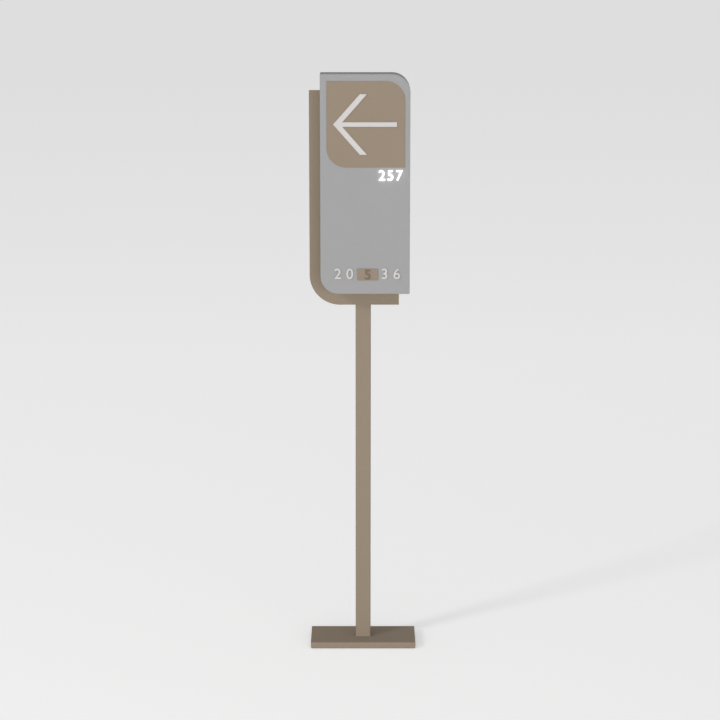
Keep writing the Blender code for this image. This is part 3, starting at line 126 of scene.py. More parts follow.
class Shader:
    """A node tree that is written as expressions."""

    def __init__(self, owner: bpy.types.Material | bpy.types.World) -> None:
        """Empties the tree of a new material or world."""
        owner.use_nodes = True
        self.owner, self.tree = owner, owner.node_tree
        self.tree.nodes.clear()

    @classmethod
    def named(cls, name: str) -> "Shader":
        """Starts a material of a name."""
        return cls(bpy.data.materials.new(name))

    def add(self, kind: str, settings: dict[str, Any] | None = None,
            values: dict[int | str, Any] | None = None, output: int | str = 0) -> Socket | None:
        """Adds any node.

        Args:
            kind: Type of the node.
            settings: Attributes that are set before the sockets.
            values: Sockets, numbers or colours, by the input's name or number.
            output: The output to return, by name or number.

        Returns:
            The chosen output, or none if the node ends the tree.
        """
        node = self.tree.nodes.new(kind)
        for name, setting in (settings or {}).items():
            setattr(node, name, setting)
        for key, value in (values or {}).items():
            if isinstance(value, Socket):
                self.tree.links.new(value.output, node.inputs[key])
            else:
                node.inputs[key].default_value = value
        return Socket(self, node.outputs[output]) if node.outputs else None

    def outputs(self, kind: str, values: dict[int | str, Any] | None = None) -> dict[str, Socket]:
        """Adds any node and returns all its outputs by name."""
        node = self.add(kind, values=values).output.node
        return {output.name: Socket(self, output) for output in node.outputs}

    @cached_property
    def place(self) -> Socket:
        """Place on the object in metres."""
        return self.add("ShaderNodeTexCoord", output="Object")

    def along(self, axis: str) -> Socket:
        """Returns one number of the place, by the axis's letter."""
        return self.outputs("ShaderNodeSeparateXYZ", {0: self.place})[axis]

    def facing(self, axis: str) -> Socket:
        """Returns how far the surface faces along an axis, from -1 to 1."""
        normal = self.add("ShaderNodeNewGeometry", output="Normal")
        return self.outputs("ShaderNodeSeparateXYZ", {0: normal})[axis]

    def stretched(self, scale: Point) -> Socket:
        """Returns the place with each axis scaled."""
        return self.add("ShaderNodeVectorMath", {"operation": "MULTIPLY"}, {0: self.place, 1: scale})

    def noise(self, size: float, detail: float = 2.0, roughness: float = 0.5,
              vector: Socket | None = None) -> Socket:
        """Adds a noise from 0 to 1, of a size in metres, read on the object or at another vector."""
        return self.add("ShaderNodeTexNoise", values={
            "Vector": vector or self.place, "Scale": 1 / size, "Detail": detail, "Roughness": roughness})

    def mix(self, share: Any, first: Any, second: Any) -> Socket:
        """Mixes two colours.

        Args:
            share: Share of the second colour.
            first: Colour, or socket of one.
            second: Colour, or socket of one.

        Returns:
            The mixed colour.
        """
        pair = [colour if isinstance(colour, Socket) else (*colour, 1.0) for colour in (first, second)]
        values = {0: share, 6: pair[0], 7: pair[1]}
        return self.add("ShaderNodeMix", {"data_type": "RGBA", "clamp_factor": True}, values, 2)

    def tinted(self, colour: Colour, factor: Socket) -> Socket:
        """Returns a colour made lighter or darker by a factor."""
        return self.add("ShaderNodeVectorMath", {"operation": "SCALE"}, {0: colour, "Scale": factor})

    def bump(self, height: Socket, distance: float) -> Socket:
        """Returns a normal from a height of 0 to 1, and the real height of 1 in metres."""
        return self.add("ShaderNodeBump", values={"Strength": 1.0, "Distance": distance, "Height": height})

    def seen_directly(self) -> Socket:
        """Returns 1 for camera, glossy and transmission rays, and 0 for the rays that carry light."""
        rays = self.outputs("ShaderNodeLightPath")
        return rays["Is Camera Ray"].at_least(rays["Is Glossy Ray"]).at_least(rays["Is Transmission Ray"])

    def choose(self, lighting: Socket, seen: Socket) -> Socket:
        """Joins the shader for the rays that carry light with the one that is seen directly."""
        return self.add("ShaderNodeMixShader", values={0: self.seen_directly(), 1: lighting, 2: seen})

    def surface(self, **values: Any) -> bpy.types.Material:
        """Ends the material with a Principled shader, whose inputs are named with underscores for spaces."""
        named = {name.replace("_", " "): value for name, value in values.items()}
        return self.close(self.add("ShaderNodeBsdfPrincipled", values=named))

    def close(self, shader: Socket, kind: str = "ShaderNodeOutputMaterial") -> bpy.types.Material:
        """Links a shader to the output of the material or world, and returns that."""
        self.add(kind, values={"Surface": shader})
        return self.owner


@dataclass(frozen=True)
class PowderCoat:
    """Powder coat with a sandy relief, slight clouding, dust on what faces up and scuffs near the floor."""

    name: str
    colour: Colour
    roughness: float = 0.74
    sheen: float = 0.22
    grain: float = 0.9 * MM
    relief: float = 0.05 * MM
    speckle: float = 0.07
    clouding: float = 0.03
    cloud_size: float = 180 * MM
    dust: float = 0.05
    dust_size: float = 30 * MM
    dust_colour: Colour = (0.52, 0.5, 0.47)
    scuffed_below: float = 0.0
    scuff_size: float = 12 * MM
    scuffing: float = 0.16

    def build(self) -> bpy.types.Material:
        """Returns a new material."""
        shader = Shader.named(self.name)
        sand = shader.noise(self.grain, detail=2.0).rise(0.3, 0.7)
        waves = shader.noise(6 * self.grain, detail=1.0)
        clouds = shader.noise(self.cloud_size, detail=3.0, roughness=0.55)
        factor = 1 + (clouds - 0.5) * (2 * self.clouding) + (sand - 0.5) * self.speckle
        patches = shader.noise(self.dust_size, detail=4.0).rise(0.3, 0.75)
        settled = shader.facing("Z").rise(0.6, 0.95) * patches
        colour = shader.mix(settled * self.dust, shader.tinted(self.colour, factor), self.dust_colour)
        rough = self.roughness + (sand - 0.5) * 0.1 + (clouds - 0.5) * 0.08 + settled * 0.1
        if self.scuffed_below:
            colour, rough = self._scuffed(shader, colour, rough)
        return shader.surface(
            Base_Color=colour, Roughness=rough, Normal=shader.bump(sand * 0.7 + waves * 0.6, self.relief),
            IOR=1.45, Specular_IOR_Level=self.sheen,
        )

    def _scuffed(self, shader: Shader, colour: Socket, rough: Socket) -> tuple[Socket, Socket]:
        """Adds shoe scuffs below a height.

        Args:
            shader: The material.
            colour: Colour so far.
            rough: Roughness so far.

        Returns:
            The new colour and roughness.
        """
        low = shader.along("Z").rise(self.scuffed_below, 0.25 * self.scuffed_below)
        lying = shader.stretched((0.35, 0.35, 2.2))
        marks = shader.noise(self.scuff_size, detail=5.0, roughness=0.65, vector=lying).rise(0.62, 0.72) * low
        lighter = tuple(min(1.0, 1.5 * channel) for channel in self.colour)
        return shader.mix(marks * self.scuffing, colour, lighter), rough - marks * 0.1


@dataclass(frozen=True)
class ZincPlate:
    """Bright zinc plate on turned steel, with fine rings of tool marks and a slight bloom."""

    name: str
    colour: Colour = (0.58, 0.6, 0.63)
    bloom_colour: Colour = (0.42, 0.43, 0.44)
    roughness: float = 0.3

    def build(self) -> bpy.types.Material:
        """Returns a new material."""
        shader = Shader.named(self.name)
        bloom = shader.noise(4 * MM, detail=4.0, roughness=0.6)
        marks = shader.noise(0.6 * MM, detail=2.0, vector=shader.stretched((1.0, 6.0, 1.0)))
        return shader.surface(
            Base_Color=shader.mix(bloom.rise(0.35, 0.8) * 0.5, self.colour, self.bloom_colour), Metallic=1.0,
            Roughness=self.roughness + (bloom - 0.5) * 0.25 + (marks - 0.5) * 0.15,
            Normal=shader.bump(marks, 0.02 * MM),
        )


@dataclass(frozen=True)
class Rubber:
    """Black rubber with a matt skin and, where asked for, anti-slip ribs along X."""

    name: str
    colour: Colour = (0.022, 0.022, 0.023)
    bloom_colour: Colour = (0.06, 0.058, 0.055)
    relief: float = 0.03 * MM
    rib_pitch: float = 0.0
    rib_relief: float = 0.35 * MM

    def build(self) -> bpy.types.Material:
        """Returns a new material."""
        shader = Shader.named(self.name)
        skin = shader.noise(0.8 * MM, detail=3.0)
        bloom = shader.noise(40 * MM, detail=4.0).rise(0.45, 0.8)
        height, depth = skin, self.relief
        if self.rib_pitch:
            ribs = (shader.along("Y") * (2 * math.pi / self.rib_pitch)).sine() * 0.5 + 0.5
            height, depth = ribs + skin * 0.08, self.rib_relief
        return shader.surface(
            Base_Color=shader.mix(bloom * 0.4, self.colour, self.bloom_colour),
            Roughness=0.78 + (skin - 0.5) * 0.2, Normal=shader.bump(height, depth),
        )


@dataclass(frozen=True)
class MouldedPlastic:
    """Injection-moulded plastic with a spark-eroded texture and faint flow clouds."""

    name: str
    colour: Colour
    roughness: float = 0.5
    grain: float = 0.5 * MM

    def build(self) -> bpy.types.Material:
        """Returns a new material."""
        shader = Shader.named(self.name)
        spark = shader.noise(self.grain, detail=2.0, roughness=0.55)
        flow = shader.noise(20 * MM, detail=2.0, vector=shader.stretched((1.0, 1.0, 0.4)))
        return shader.surface(
            Base_Color=shader.tinted(self.colour, 1 + (flow - 0.5) * 0.06 + (spark - 0.5) * 0.04),
            Roughness=self.roughness + (spark - 0.5) * 0.15 + (flow - 0.5) * 0.06,
            Normal=shader.bump(spark, 0.02 * MM),
        )


@dataclass(frozen=True)
class LitAcrylic:
    """Opal acrylic that lets the light behind it through, from its cut edges as well as its front."""

    name: str
    front_strength: float
    edge_strength: float
    colour: Colour = (0.95, 0.95, 0.94)
    glow: Colour = (1.0, 0.99, 0.97)
    roughness: float = 0.28

    def build(self) -> bpy.types.Material:
        """Returns a new material."""
        shader = Shader.named(self.name)
        haze = shader.noise(20 * MM, detail=2.0)
        level = abs(shader.facing("Y")).rise(0.3, 0.8, 1.0, self.front_strength / self.edge_strength)
        return shader.surface(
            Base_Color=shader.tinted(self.colour, 0.98 + haze * 0.03),
            Roughness=self.roughness + (haze - 0.5) * 0.1,
            Emission_Color=shader.tinted(self.glow, level * (0.94 + haze * 0.12)),
            Emission_Strength=self.edge_strength,
        )


@dataclass(frozen=True)
class CircuitBoard:
    """Green solder mask with copper tracks in front, and pale lamps that stand up from it."""

    name: str
    board_front: float
    mask_colour: Colour = (0.02, 0.14, 0.06)
    track_colour: Colour = (0.04, 0.24, 0.1)
    lamp_colour: Colour = (0.85, 0.72, 0.3)

    def build(self) -> bpy.types.Material:
        """Returns a new material."""
        shader = Shader.named(self.name)
        lamp = shader.along("Y").rise(self.board_front - 0.1 * MM, self.board_front - 0.4 * MM)
        upright = shader.add("ShaderNodeMapping", values={0: shader.place, 2: Facing.FORWARD.value})
        tracks = shader.add(
            "ShaderNodeTexBrick", {"offset": 0.5},
            {"Vector": upright, "Scale": 60.0, "Mortar Size": 0.03, "Mortar Smooth": 0.2}, 1)
        mask = shader.mix(tracks * 0.7, self.mask_colour, self.track_colour)
        grain = shader.noise(2 * MM, detail=2.0)
        return shader.surface(
            Base_Color=shader.mix(lamp, mask, self.lamp_colour),
            Roughness=0.35 + lamp * 0.2 + (grain - 0.5) * 0.1, Normal=shader.bump(tracks, 0.04 * MM),
        )


@dataclass(frozen=True)
class Extrusion:
    """Plain aluminium extrusion, with fine lines along Z."""

    name: str
    colour: Colour = (0.62, 0.63, 0.64)

    def build(self) -> bpy.types.Material:
        """Returns a new material."""
        shader = Shader.named(self.name)
        lines = shader.noise(0.4 * MM, detail=3.0, vector=shader.stretched((1.0, 1.0, 0.02)))
        handling = shader.noise(30 * MM, detail=3.0)
        return shader.surface(
            Base_Color=shader.tinted(self.colour, 1 + (lines - 0.5) * 0.12), Metallic=1.0,
            Roughness=0.38 + (lines - 0.5) * 0.2 + (handling - 0.5) * 0.15,
            Normal=shader.bump(lines, 0.02 * MM),
        )


# Measures of the frame
@dataclass(frozen=True)
class Bounds:
    """The box of a node, by side."""

    left: float
    front: float
    low: float
    right: float
    back: float
    high: float

    @classmethod
    def of(cls, node: str) -> "Bounds":
        """Returns the box of a node at rest."""
        low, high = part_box(node)
        return cls(*low, *high)

    @property
    def corners(self) -> tuple[Point, Point]:
        """The two opposite corners."""
        return (self.left, self.front, self.low), (self.right, self.back, self.high)

    @property
    def middle(self) -> Vector:
        """Middle of the box."""
        return Vector((low + high) / 2 for low, high in zip(*self.corners))


def middles(node: str, count: int) -> list[Vector]:
    """Returns the middles of nodes that share a name and are numbered from 1."""
    return [Bounds.of(f"{node}_{number}").middle for number in range(1, count + 1)]


# Modelling
class Domain(Enum):
    """What a selection in edit mode is made of."""

    POINTS = "VERT"
    EDGES = "EDGE"
    FACES = "FACE"


@dataclass(frozen=True)
class Pick:
    """Chooses points, edges or faces by where all their points lie, and edges also by their direction."""

    x: float | None = None
    y: float | None = None
    z: float | None = None
    along: int | None = None
    slack: float = 0.02 * MM

    def holds(self, points: Sequence[Vector]) -> bool:
        """Tells whether an element is chosen.

        Args:
            points: Its points; an edge's two in any order.

        Returns:
            True if all lie where the pick wants, and the edge runs its way.
        """
        for axis, wanted in enumerate((self.x, self.y, self.z)):
            if wanted is not None and any(abs(point[axis] - wanted) > self.slack for point in points):
                return False
        if self.along is None:
            return True
        span = points[-1] - points[0]
        return abs(span[self.along]) > PARALLEL * span.length


Step = Callable[[], Any]


def push(*move: float) -> Step:
    """Makes the edit step that extrudes the selection by a move."""
    return lambda: bpy.ops.mesh.extrude_region_move(TRANSFORM_OT_translate={"value": move})


def scale(factors: Sequence[float], centre: Sequence[float]) -> Step:
    """Makes the edit step that scales the selection about a point."""
    return lambda: bpy.ops.transform.resize(value=factors, center_override=centre)


def merge(distance: float) -> Step:
    """Makes the edit step that merges points closer than a distance."""
    return lambda: bpy.ops.mesh.remove_doubles(threshold=distance)


def turn_outwards() -> None:
    """Makes the selected faces point outwards; this is an edit step itself."""
    bpy.ops.mesh.normals_make_consistent(inside=False)


def added(operator: Callable[..., Any], **settings: Any) -> bpy.types.Object:
    """Adds an object by an operator, with nothing else selected, because operators act on all that is.

    Args:
        operator: One of Blender's operators.
        settings: Its settings.

    Returns:
        The new object, which is active.
    """
    bpy.ops.object.select_all(action="DESELECT")
    operator(**settings)
    return bpy.context.object


class Workpiece:
    """A mesh that Blender's own operators shape, with its object at the origin."""

    def __init__(self, name: str) -> None:
        """Takes the active object, which an operator has just added, and puts its place in its mesh."""
        self.object = bpy.context.object
        self.object.name = name
        self.object.data.name = name
        bpy.ops.object.transform_apply(location=True, rotation=True, scale=True)

    @classmethod
    def block(cls, name: str, low: Sequence[float], high: Sequence[float]) -> "Workpiece":
        """Adds a cube that fills a box.

        Args:
            name: Its name.
            low: Corner at the left, front and bottom.
            high: Corner at the right, back and top.

        Returns:
            The new piece.
        """
        middle = [(a + b) / 2 for a, b in zip(low, high)]
        size = [b - a for a, b in zip(low, high)]
        added(bpy.ops.mesh.primitive_cube_add, size=1, location=middle, scale=size)
        return cls(name)

    @classmethod
    def sheet(cls, name: str, x_range: Sequence[float], z_range: Sequence[float], y: float) -> "Workpiece":
        """Adds an upright plane that faces the reader.

        Args:
            name: Its name.
            x_range: Places of its left and right sides.
            z_range: Places of its bottom and top.
            y: Place of the plane.

        Returns:
            The new piece.
        """
        middle = (sum(x_range) / 2, y, sum(z_range) / 2)
        upright = Facing.FORWARD.value
        plane = added(bpy.ops.mesh.primitive_plane_add, size=1, location=middle, rotation=upright)
        plane.scale = (x_range[1] - x_range[0], z_range[1] - z_range[0], 1)
        return cls(name)

    @classmethod
    def panel(cls, name: str, box: Bounds, corner: float, steps: int = CORNER_STEPS) -> "Workpiece":
        """Adds a sheet at a box's back, rounded at its bottom left and top right corners.

        Args:
            name: Its name.
            box: The box.
            corner: Radius of the corners.
            steps: Number of facets in each.

        Returns:
            The new piece.
        """
        panel = cls.sheet(name, (box.left, box.right), (box.low, box.high), box.back)
        panel.round_corner(Pick(x=box.left, z=box.low), corner, steps)
        return panel.round_corner(Pick(x=box.right, z=box.high), corner, steps)

    @classmethod
    def rod(cls, name: str, radius: float, length: float, middle: Sequence[float],
            facing: Facing = Facing.UPWARD, steps: int = HOLE_STEPS) -> "Workpiece":
        """Adds a cylinder.

        Args:
            name: Its name.
            radius: Radius.
            length: Length along its own Z.
            middle: Its middle.
            facing: Way that its own Z points.
            steps: Number of its sides.

        Returns:
            The new piece.
        """
        added(bpy.ops.mesh.primitive_cylinder_add, vertices=steps, radius=radius, depth=length,
              location=middle, rotation=facing.value)
        return cls(name)

    @classmethod
    def key(cls, width: float, depth: float, top: float, past: float = 2 * MM) -> "Workpiece":
        """Adds the tool for a hexagon socket, by its width across flats, its depth and the head's height."""
        middle = (0, 0, top + (past - depth) / 2)
        return cls.rod("key_tool", width / math.sqrt(3), depth + past, middle, steps=6)

    def activate(self) -> None:
        """Makes this the one selected and active object."""
        bpy.ops.object.select_all(action="DESELECT")
        self.object.select_set(True)
        bpy.context.view_layer.objects.active = self.object

    def remove(self) -> None:
        """Deletes the object."""
        bpy.data.objects.remove(self.object)

    def edit(self, domain: Domain, pick: Pick, *steps: Step) -> "Workpiece":
        """Selects by place in edit mode, and runs operators on the selection.

        Args:
            domain: What is selected.
            pick: Which of them.
            steps: Operator calls.

        Returns:
            This piece.
        """
        self.activate()
        bpy.ops.object.mode_set(mode="EDIT")
        bpy.ops.mesh.select_mode(type=domain.value)
        bpy.ops.mesh.select_all(action="DESELECT")
        mesh = bmesh.from_edit_mesh(self.object.data)
        group = {Domain.POINTS: mesh.verts, Domain.EDGES: mesh.edges, Domain.FACES: mesh.faces}[domain]
        for element in group:
            points = [element] if domain is Domain.POINTS else element.verts
            element.select_set(pick.holds([point.co for point in points]))
        bmesh.update_edit_mesh(self.object.data)
        for step in steps:
            step()
        bpy.ops.object.mode_set(mode="OBJECT")
        return self

    def round_corner(self, pick: Pick, radius: float, steps: int) -> "Workpiece":
        """Rounds the chosen corner of a flat outline."""
        return self.edit(
            Domain.POINTS, pick,
            lambda: bpy.ops.mesh.bevel(offset=radius, segments=steps, affect="VERTICES", clamp_overlap=False),
        )

    def extrude(self, depth: float) -> "Workpiece":
        """Extrudes a flat upright outline along Y into a closed solid."""
        return self.edit(
            Domain.FACES, Pick(), push(0, depth, 0), lambda: bpy.ops.mesh.select_all(action="SELECT"),
            turn_outwards,
        )

    def neck(self, z: float, ratio: float, cone: float, length: float,
             plan: Sequence[float] = (0, 0)) -> "Workpiece":
        """Draws a rod's end face at z out by a cone to a ratio of its width, and on by a straight length."""
        narrower = scale((ratio, ratio, 1), (*plan, z + cone))
        return self.edit(Domain.FACES, Pick(z=z), push(0, 0, cone), narrower, push(0, 0, length))

    def ease(self, pick: Pick, width: float, steps: int = EDGE_STEPS) -> "Workpiece":
        """Rounds the chosen edges."""
        return self.edit(
            Domain.EDGES, pick,
            lambda: bpy.ops.mesh.bevel(offset=width, segments=steps, affect="EDGES", clamp_overlap=True),
        )

    def remove_faces(self, pick: Pick) -> "Workpiece":
        """Deletes the chosen faces."""
        return self.edit(Domain.FACES, pick, lambda: bpy.ops.mesh.delete(type="FACE"))

    def modify(self, kind: str, **settings: Any) -> "Workpiece":
        """Adds a modifier and applies it.

        Args:
            kind: Its type.
            settings: Its settings.

        Returns:
            This piece.
        """
        self.activate()
        modifier = self.object.modifiers.new(kind.lower(), kind)
        for name, value in settings.items():
            setattr(modifier, name, value)
        bpy.ops.object.modifier_apply(modifier=modifier.name)
        return self

    def thicken(self, thickness: float) -> "Workpiece":
        """Gives an open skin a wall inwards."""
        return self.modify("SOLIDIFY", thickness=thickness, offset=-1.0, use_even_offset=True, use_rim=True)

    def combine(self, operation: str, tool: "Workpiece") -> "Workpiece":
        """Cuts or joins with another piece, and removes that piece."""
        self.modify("BOOLEAN", operation=operation, solver="EXACT", object=tool.object)
        tool.remove()
        return self

    def cut(self, *tools: "Workpiece") -> "Workpiece":
        """Cuts tools out of this piece."""
        for tool in tools:
            self.combine("DIFFERENCE", tool)
        return self

    def drill(self, radius: float, length: float, middle: Sequence[float],
              steps: int = HOLE_STEPS) -> "Workpiece":
        """Cuts a round hole along Y, with a rod of this radius, length and middle."""
        return self.cut(Workpiece.rod("drill", radius, length, middle, Facing.FORWARD, steps))

    def copy_to(self, name: str, place: Sequence[float], facing: Facing) -> "Workpiece":
        """Copies this piece, made at the origin facing up, to a place.

        Args:
            name: Name of the copy.
            place: Where its own origin goes.
            facing: Way that its own Z points.

        Returns:
            The copy, with a mesh of its own.
        """
        self.activate()
        bpy.ops.object.duplicate(linked=False)
        twin = bpy.context.object
        twin.location = place
        twin.rotation_euler = facing.value
        return Workpiece(name)

    def finish(self, look: "Look", *replaces: str) -> None:
        """Shades, dresses and seats the piece on the sign's body.

        Args:
            look: Its finish and slot.
            replaces: Nodes that it stands for.
        """
        self.activate()
        bpy.ops.object.shade_smooth_by_angle(angle=SMOOTH_BELOW)
        self.modify("WEIGHTED_NORMAL", keep_sharp=True, weight=90)
        self.object.data.materials.clear()
        self.object.data.materials.append(look.material)
        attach(self.object, ROOT_BODY)
        if replaces:
            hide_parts(*replaces)
        LOG.info("%s: %d faces", self.object.name, len(self.object.data.polygons))


# Finishes by the record's slots
@dataclass(frozen=True)
class Look:
    """A finish that has been made, and the record's slot that it belongs to."""

    slot: str
    material: bpy.types.Material


class Finishes:
    """Every finish of the sign, made once."""

    TAUPE = (0.321, 0.256, 0.191)
    DARK_TAUPE = (0.21, 0.165, 0.12)
    GREY = (0.376, 0.376, 0.376)
    OFF_WHITE = (0.677, 0.648, 0.631)
    BOARD_THICKNESS = 1.6 * MM
    SCUFFED_BELOW = 0.16

    def __init__(self) -> None:
        """Builds the materials."""
        board_front = Bounds.of("led_board").back - self.BOARD_THICKNESS
        scuffed = PowderCoat("taupe_coat_scuffed", self.TAUPE, scuffed_below=self.SCUFFED_BELOW)
        off_white = PowderCoat("off_white_coat", self.OFF_WHITE, roughness=0.6, relief=0.03 * MM)
        cap_plastic = MouldedPlastic("taupe_plastic", (0.27, 0.21, 0.165), roughness=0.55)
        white_plastic = MouldedPlastic("white_plastic", (0.78, 0.78, 0.76), roughness=0.42)
        diffuser = LitAcrylic("opal_diffuser", front_strength=0.35, edge_strength=0.35)
        self.taupe = Look("taupe_paint", PowderCoat("taupe_coat", self.TAUPE).build())
        self.scuffed_taupe = Look("taupe_paint", scuffed.build())
        self.dark_taupe = Look("taupe_paint", PowderCoat("dark_taupe_coat", self.DARK_TAUPE).build())
        self.grey = Look("grey_paint", PowderCoat("grey_coat", self.GREY, roughness=0.7).build())
        self.off_white = Look("off_white_paint", off_white.build())
        self.zinc = Look("zinc", ZincPlate("zinc_plate").build())
        self.rubber = Look("black_rubber", Rubber("black_rubber").build())
        self.ribbed_rubber = Look("black_rubber", Rubber("ribbed_rubber", rib_pitch=3 * MM).build())
        self.taupe_plastic = Look("taupe_plastic", cap_plastic.build())
        self.white_plastic = Look("white_plastic", white_plastic.build())
        self.opal = Look("opal_acrylic", diffuser.build())
        self.lit = Look("opal_acrylic", LitAcrylic("lit_acrylic", 1.0, 1.6).build())
        self.board = Look("circuit_board", CircuitBoard("circuit_board", board_front).build())
        self.case = Look("driver_case", Extrusion("driver_case").build())
        self.sheath = Look("black_sheath", MouldedPlastic("black_sheath", (0.028, 0.028, 0.03)).build())

    def dress_nodes(self) -> None:
        """Gives every node of the frame its finish, for those that stay on show."""
        plain_looks = (
            self.taupe, self.grey, self.off_white, self.zinc, self.rubber, self.taupe_plastic,
            self.white_plastic, self.opal, self.board, self.case, self.sheath,
        )
        by_slot = {look.slot: look.material for look in plain_looks}
        special = {"floor_mat": self.ribbed_rubber.material}
        for row in frame["record"]["subparts"]:
            node = frame["nodes"][row["node"]]
            material = special.get(row["node"], by_slot[row["material_slot"]])
            if not node.data.materials:
                node.data.materials.append(material)
            for slot in node.material_slots:
                slot.material = material


# Sub-assemblies
@dataclass
class Foot:
    """Base plate with everything cut in its underside, and the post's button-headed screws."""

    finishes: Finishes
    corner: float = 3 * MM
    edge: float = 0.8 * MM
    bolt_hole: float = 4.5 * MM
    counterbore: float = 7 * MM
    counterbore_depth: float = 9 * MM
    cable_hole: float = 7 * MM
    pocket: float = 10 * MM
    pocket_depth: float = 11 * MM
    groove_width: float = 10 * MM
    groove_depth: float = 10 * MM
    past: float = 2 * MM
    head: float = 5.2 * MM
    head_height: float = 3.3 * MM
    head_round: float = 1.9 * MM
    shank: float = 3 * MM
    shank_length: float = 14 * MM
    shank_chamfer: float = 0.5 * MM
    key_width: float = 4 * MM
    key_depth: float = 2 * MM

    def build(self) -> None:
        """Builds the pieces."""
        self.build_base()
        self.build_screws()

    def build_base(self) -> None:
        """Builds the base plate."""
        box = Bounds.of("base_plate")
        base = Workpiece.block("base_slab", *box.corners)
        base.ease(Pick(along=2), self.corner, steps=6).ease(Pick(z=box.high), self.edge)
        base.ease(Pick(z=box.low), self.edge, steps=2)
        for bolt in middles("foot_bolt", 4):
            base.cut(self.step_tool(box, bolt.xy, self.bolt_hole, self.counterbore, self.counterbore_depth))
        base.cut(self.step_tool(box, (0, 0), self.cable_hole, self.pocket, self.pocket_depth))
        half = self.groove_width / 2
        base.cut(Workpiece.block(
            "groove_tool", (-half, 0, box.low - self.past),
            (half, box.back + self.past, box.low + self.groove_depth)))
        base.finish(self.finishes.scuffed_taupe, "base_plate")

    def step_tool(self, box: Bounds, plan: Sequence[float], hole: float, wide: float,
                  depth: float) -> Workpiece:
        """Makes the tool for a stepped hole from below.

        Args:
            box: The base plate's box.
            plan: Place in plan.
            hole: Radius of the through hole.
            wide: Radius of the wide part.
            depth: Depth of the wide part.

        Returns:
            The tool.
        """
        step, height = box.low + depth, depth + self.past
        tool = Workpiece.rod("step_tool", wide, height, (*plan, step - height / 2))
        return tool.neck(step, hole / wide, 0, box.high + self.past - step, plan)

    def build_screws(self) -> None:
        """Builds one screw behind the post's foot, and copies it to each seat."""
        model = Workpiece.rod("screw_model", self.head, self.head_height, (0, 0, self.head_height / 2))
        model.ease(Pick(z=self.head_height), self.head_round, steps=6)
        model.neck(0, self.shank / self.head, 0, -self.shank_length)
        model.cut(Workpiece.key(self.key_width, self.key_depth, self.head_height))
        model.ease(Pick(z=-self.shank_length), self.shank_chamfer, steps=1)
        for number in (1, 2):
            node = f"foot_screw_{number}"
            box = Bounds.of(node)
            place = (box.middle.x, box.back - self.head_height, box.middle.z)
            model.copy_to(f"post_screw_{number}", place, Facing.BACKWARD).finish(self.finishes.zinc, node)
        model.remove()


@dataclass
class Mast:
    """Square tube with its cap."""

    finishes: Finishes
    corner: float = 4 * MM
    wall: float = 3 * MM
    screw_hole: float = 3.5 * MM
    rivet_hole: float = 5.8 * MM
    cable_hole: float = 8 * MM
    cap_plate: float = 2.5 * MM
    cap_edge: float = 1 * MM
    plug_wall: float = 2.4 * MM
    plug_corner: float = 1 * MM
    play: float = 0.3 * MM

    def build(self) -> None:
        """Builds the pieces."""
        self.build_tube()
        self.build_cap()

    def build_tube(self) -> None:
        """Builds the tube, with the holes that its screws, rivet nuts and cable need."""
        box = Bounds.of("post")
        tube = Workpiece.block("post_tube", *box.corners).ease(Pick(along=2), self.corner, steps=8)
        tube.remove_faces(Pick(z=box.high)).remove_faces(Pick(z=box.low))
        tube.thicken(self.wall)
        holes = [(self.screw_hole, box.back, screw.z) for screw in middles("foot_screw", 2)]
        holes += [(self.rivet_hole, box.front, rivet.z) for rivet in middles("rivet_nut", 4)]
        holes.append((self.cable_hole, box.front, Bounds.of("cable_bush").middle.z))
        for radius, wall_y, height in holes:
            tube.drill(radius, 4 * self.wall, (0, wall_y, height))
        tube.finish(self.finishes.scuffed_taupe, "post")

    def build_cap(self) -> None:
        """Builds the cap and its hollow plug."""
        box, post = Bounds.of("post_cap"), Bounds.of("post")
        under = box.high - self.cap_plate
        cap = Workpiece.block("mast_cap", (box.left, box.front, under), (box.right, box.back, box.high))
        cap.ease(Pick(along=2), self.corner, steps=8).ease(Pick(z=box.high), self.cap_edge, steps=4)
        outer = post.right - self.wall - self.play
        inner = outer - self.plug_wall
        plug = Workpiece.block(
            "cap_plug", (-outer, -outer, box.low), (outer, outer, box.high - self.cap_plate / 2))
        cap.combine("UNION", plug.ease(Pick(along=2), self.plug_corner))
        cap.cut(Workpiece.block(
            "plug_hollow", (-inner, -inner, box.low - self.wall), (inner, inner, under - self.play)))
        cap.finish(self.finishes.taupe_plastic, "post_cap")


@dataclass
class RearPanel:
    """Thin plate behind the box, rounded at two opposite corners."""

    finishes: Finishes
    corner: float = 99 * MM
    edge: float = 0.5 * MM
    bolt_hole: float = 4.5 * MM
    pocket: float = 9 * MM
    pocket_depth: float = 1.5 * MM
    tap: float = 2.8 * MM
    tap_depth: float = 4.2 * MM
    cable_hole: float = 8 * MM

    def build(self) -> None:
        """Builds the plate."""
        box = Bounds.of("rear_plate")
        plate = Workpiece.panel("rear_panel", box, self.corner, steps=32).extrude(box.front - box.back)
        plate.ease(Pick(y=box.front), self.edge).ease(Pick(y=box.back), self.edge)
        through = 3 * (box.back - box.front)
        for bolt, screw in zip(middles("head_bolt", 4), middles("plate_screw", 4)):
            plate.drill(self.bolt_hole, through, (0, box.front, bolt.z))
            plate.drill(self.pocket, 2 * self.pocket_depth, (0, box.back, bolt.z))
            plate.drill(self.tap, 2 * self.tap_depth, (screw.x, box.front, screw.z), SMALL_HOLE_STEPS)
        plate.drill(self.cable_hole, through, (0, box.front, Bounds.of("cable_bush").middle.z))
        plate.finish(self.finishes.taupe, "rear_plate")


def drill_for_studs(sheet: Workpiece, front: float, hole: float = 2.5 * MM, reach: float = 4 * MM) -> None:
    """Drills the holes for the arrow's studs through a sheet, to a reach from its front both ways."""
    for stud in middles("stud_nut", 3):
        sheet.drill(hole, 2 * reach, (stud.x, front, stud.z), SMALL_HOLE_STEPS)


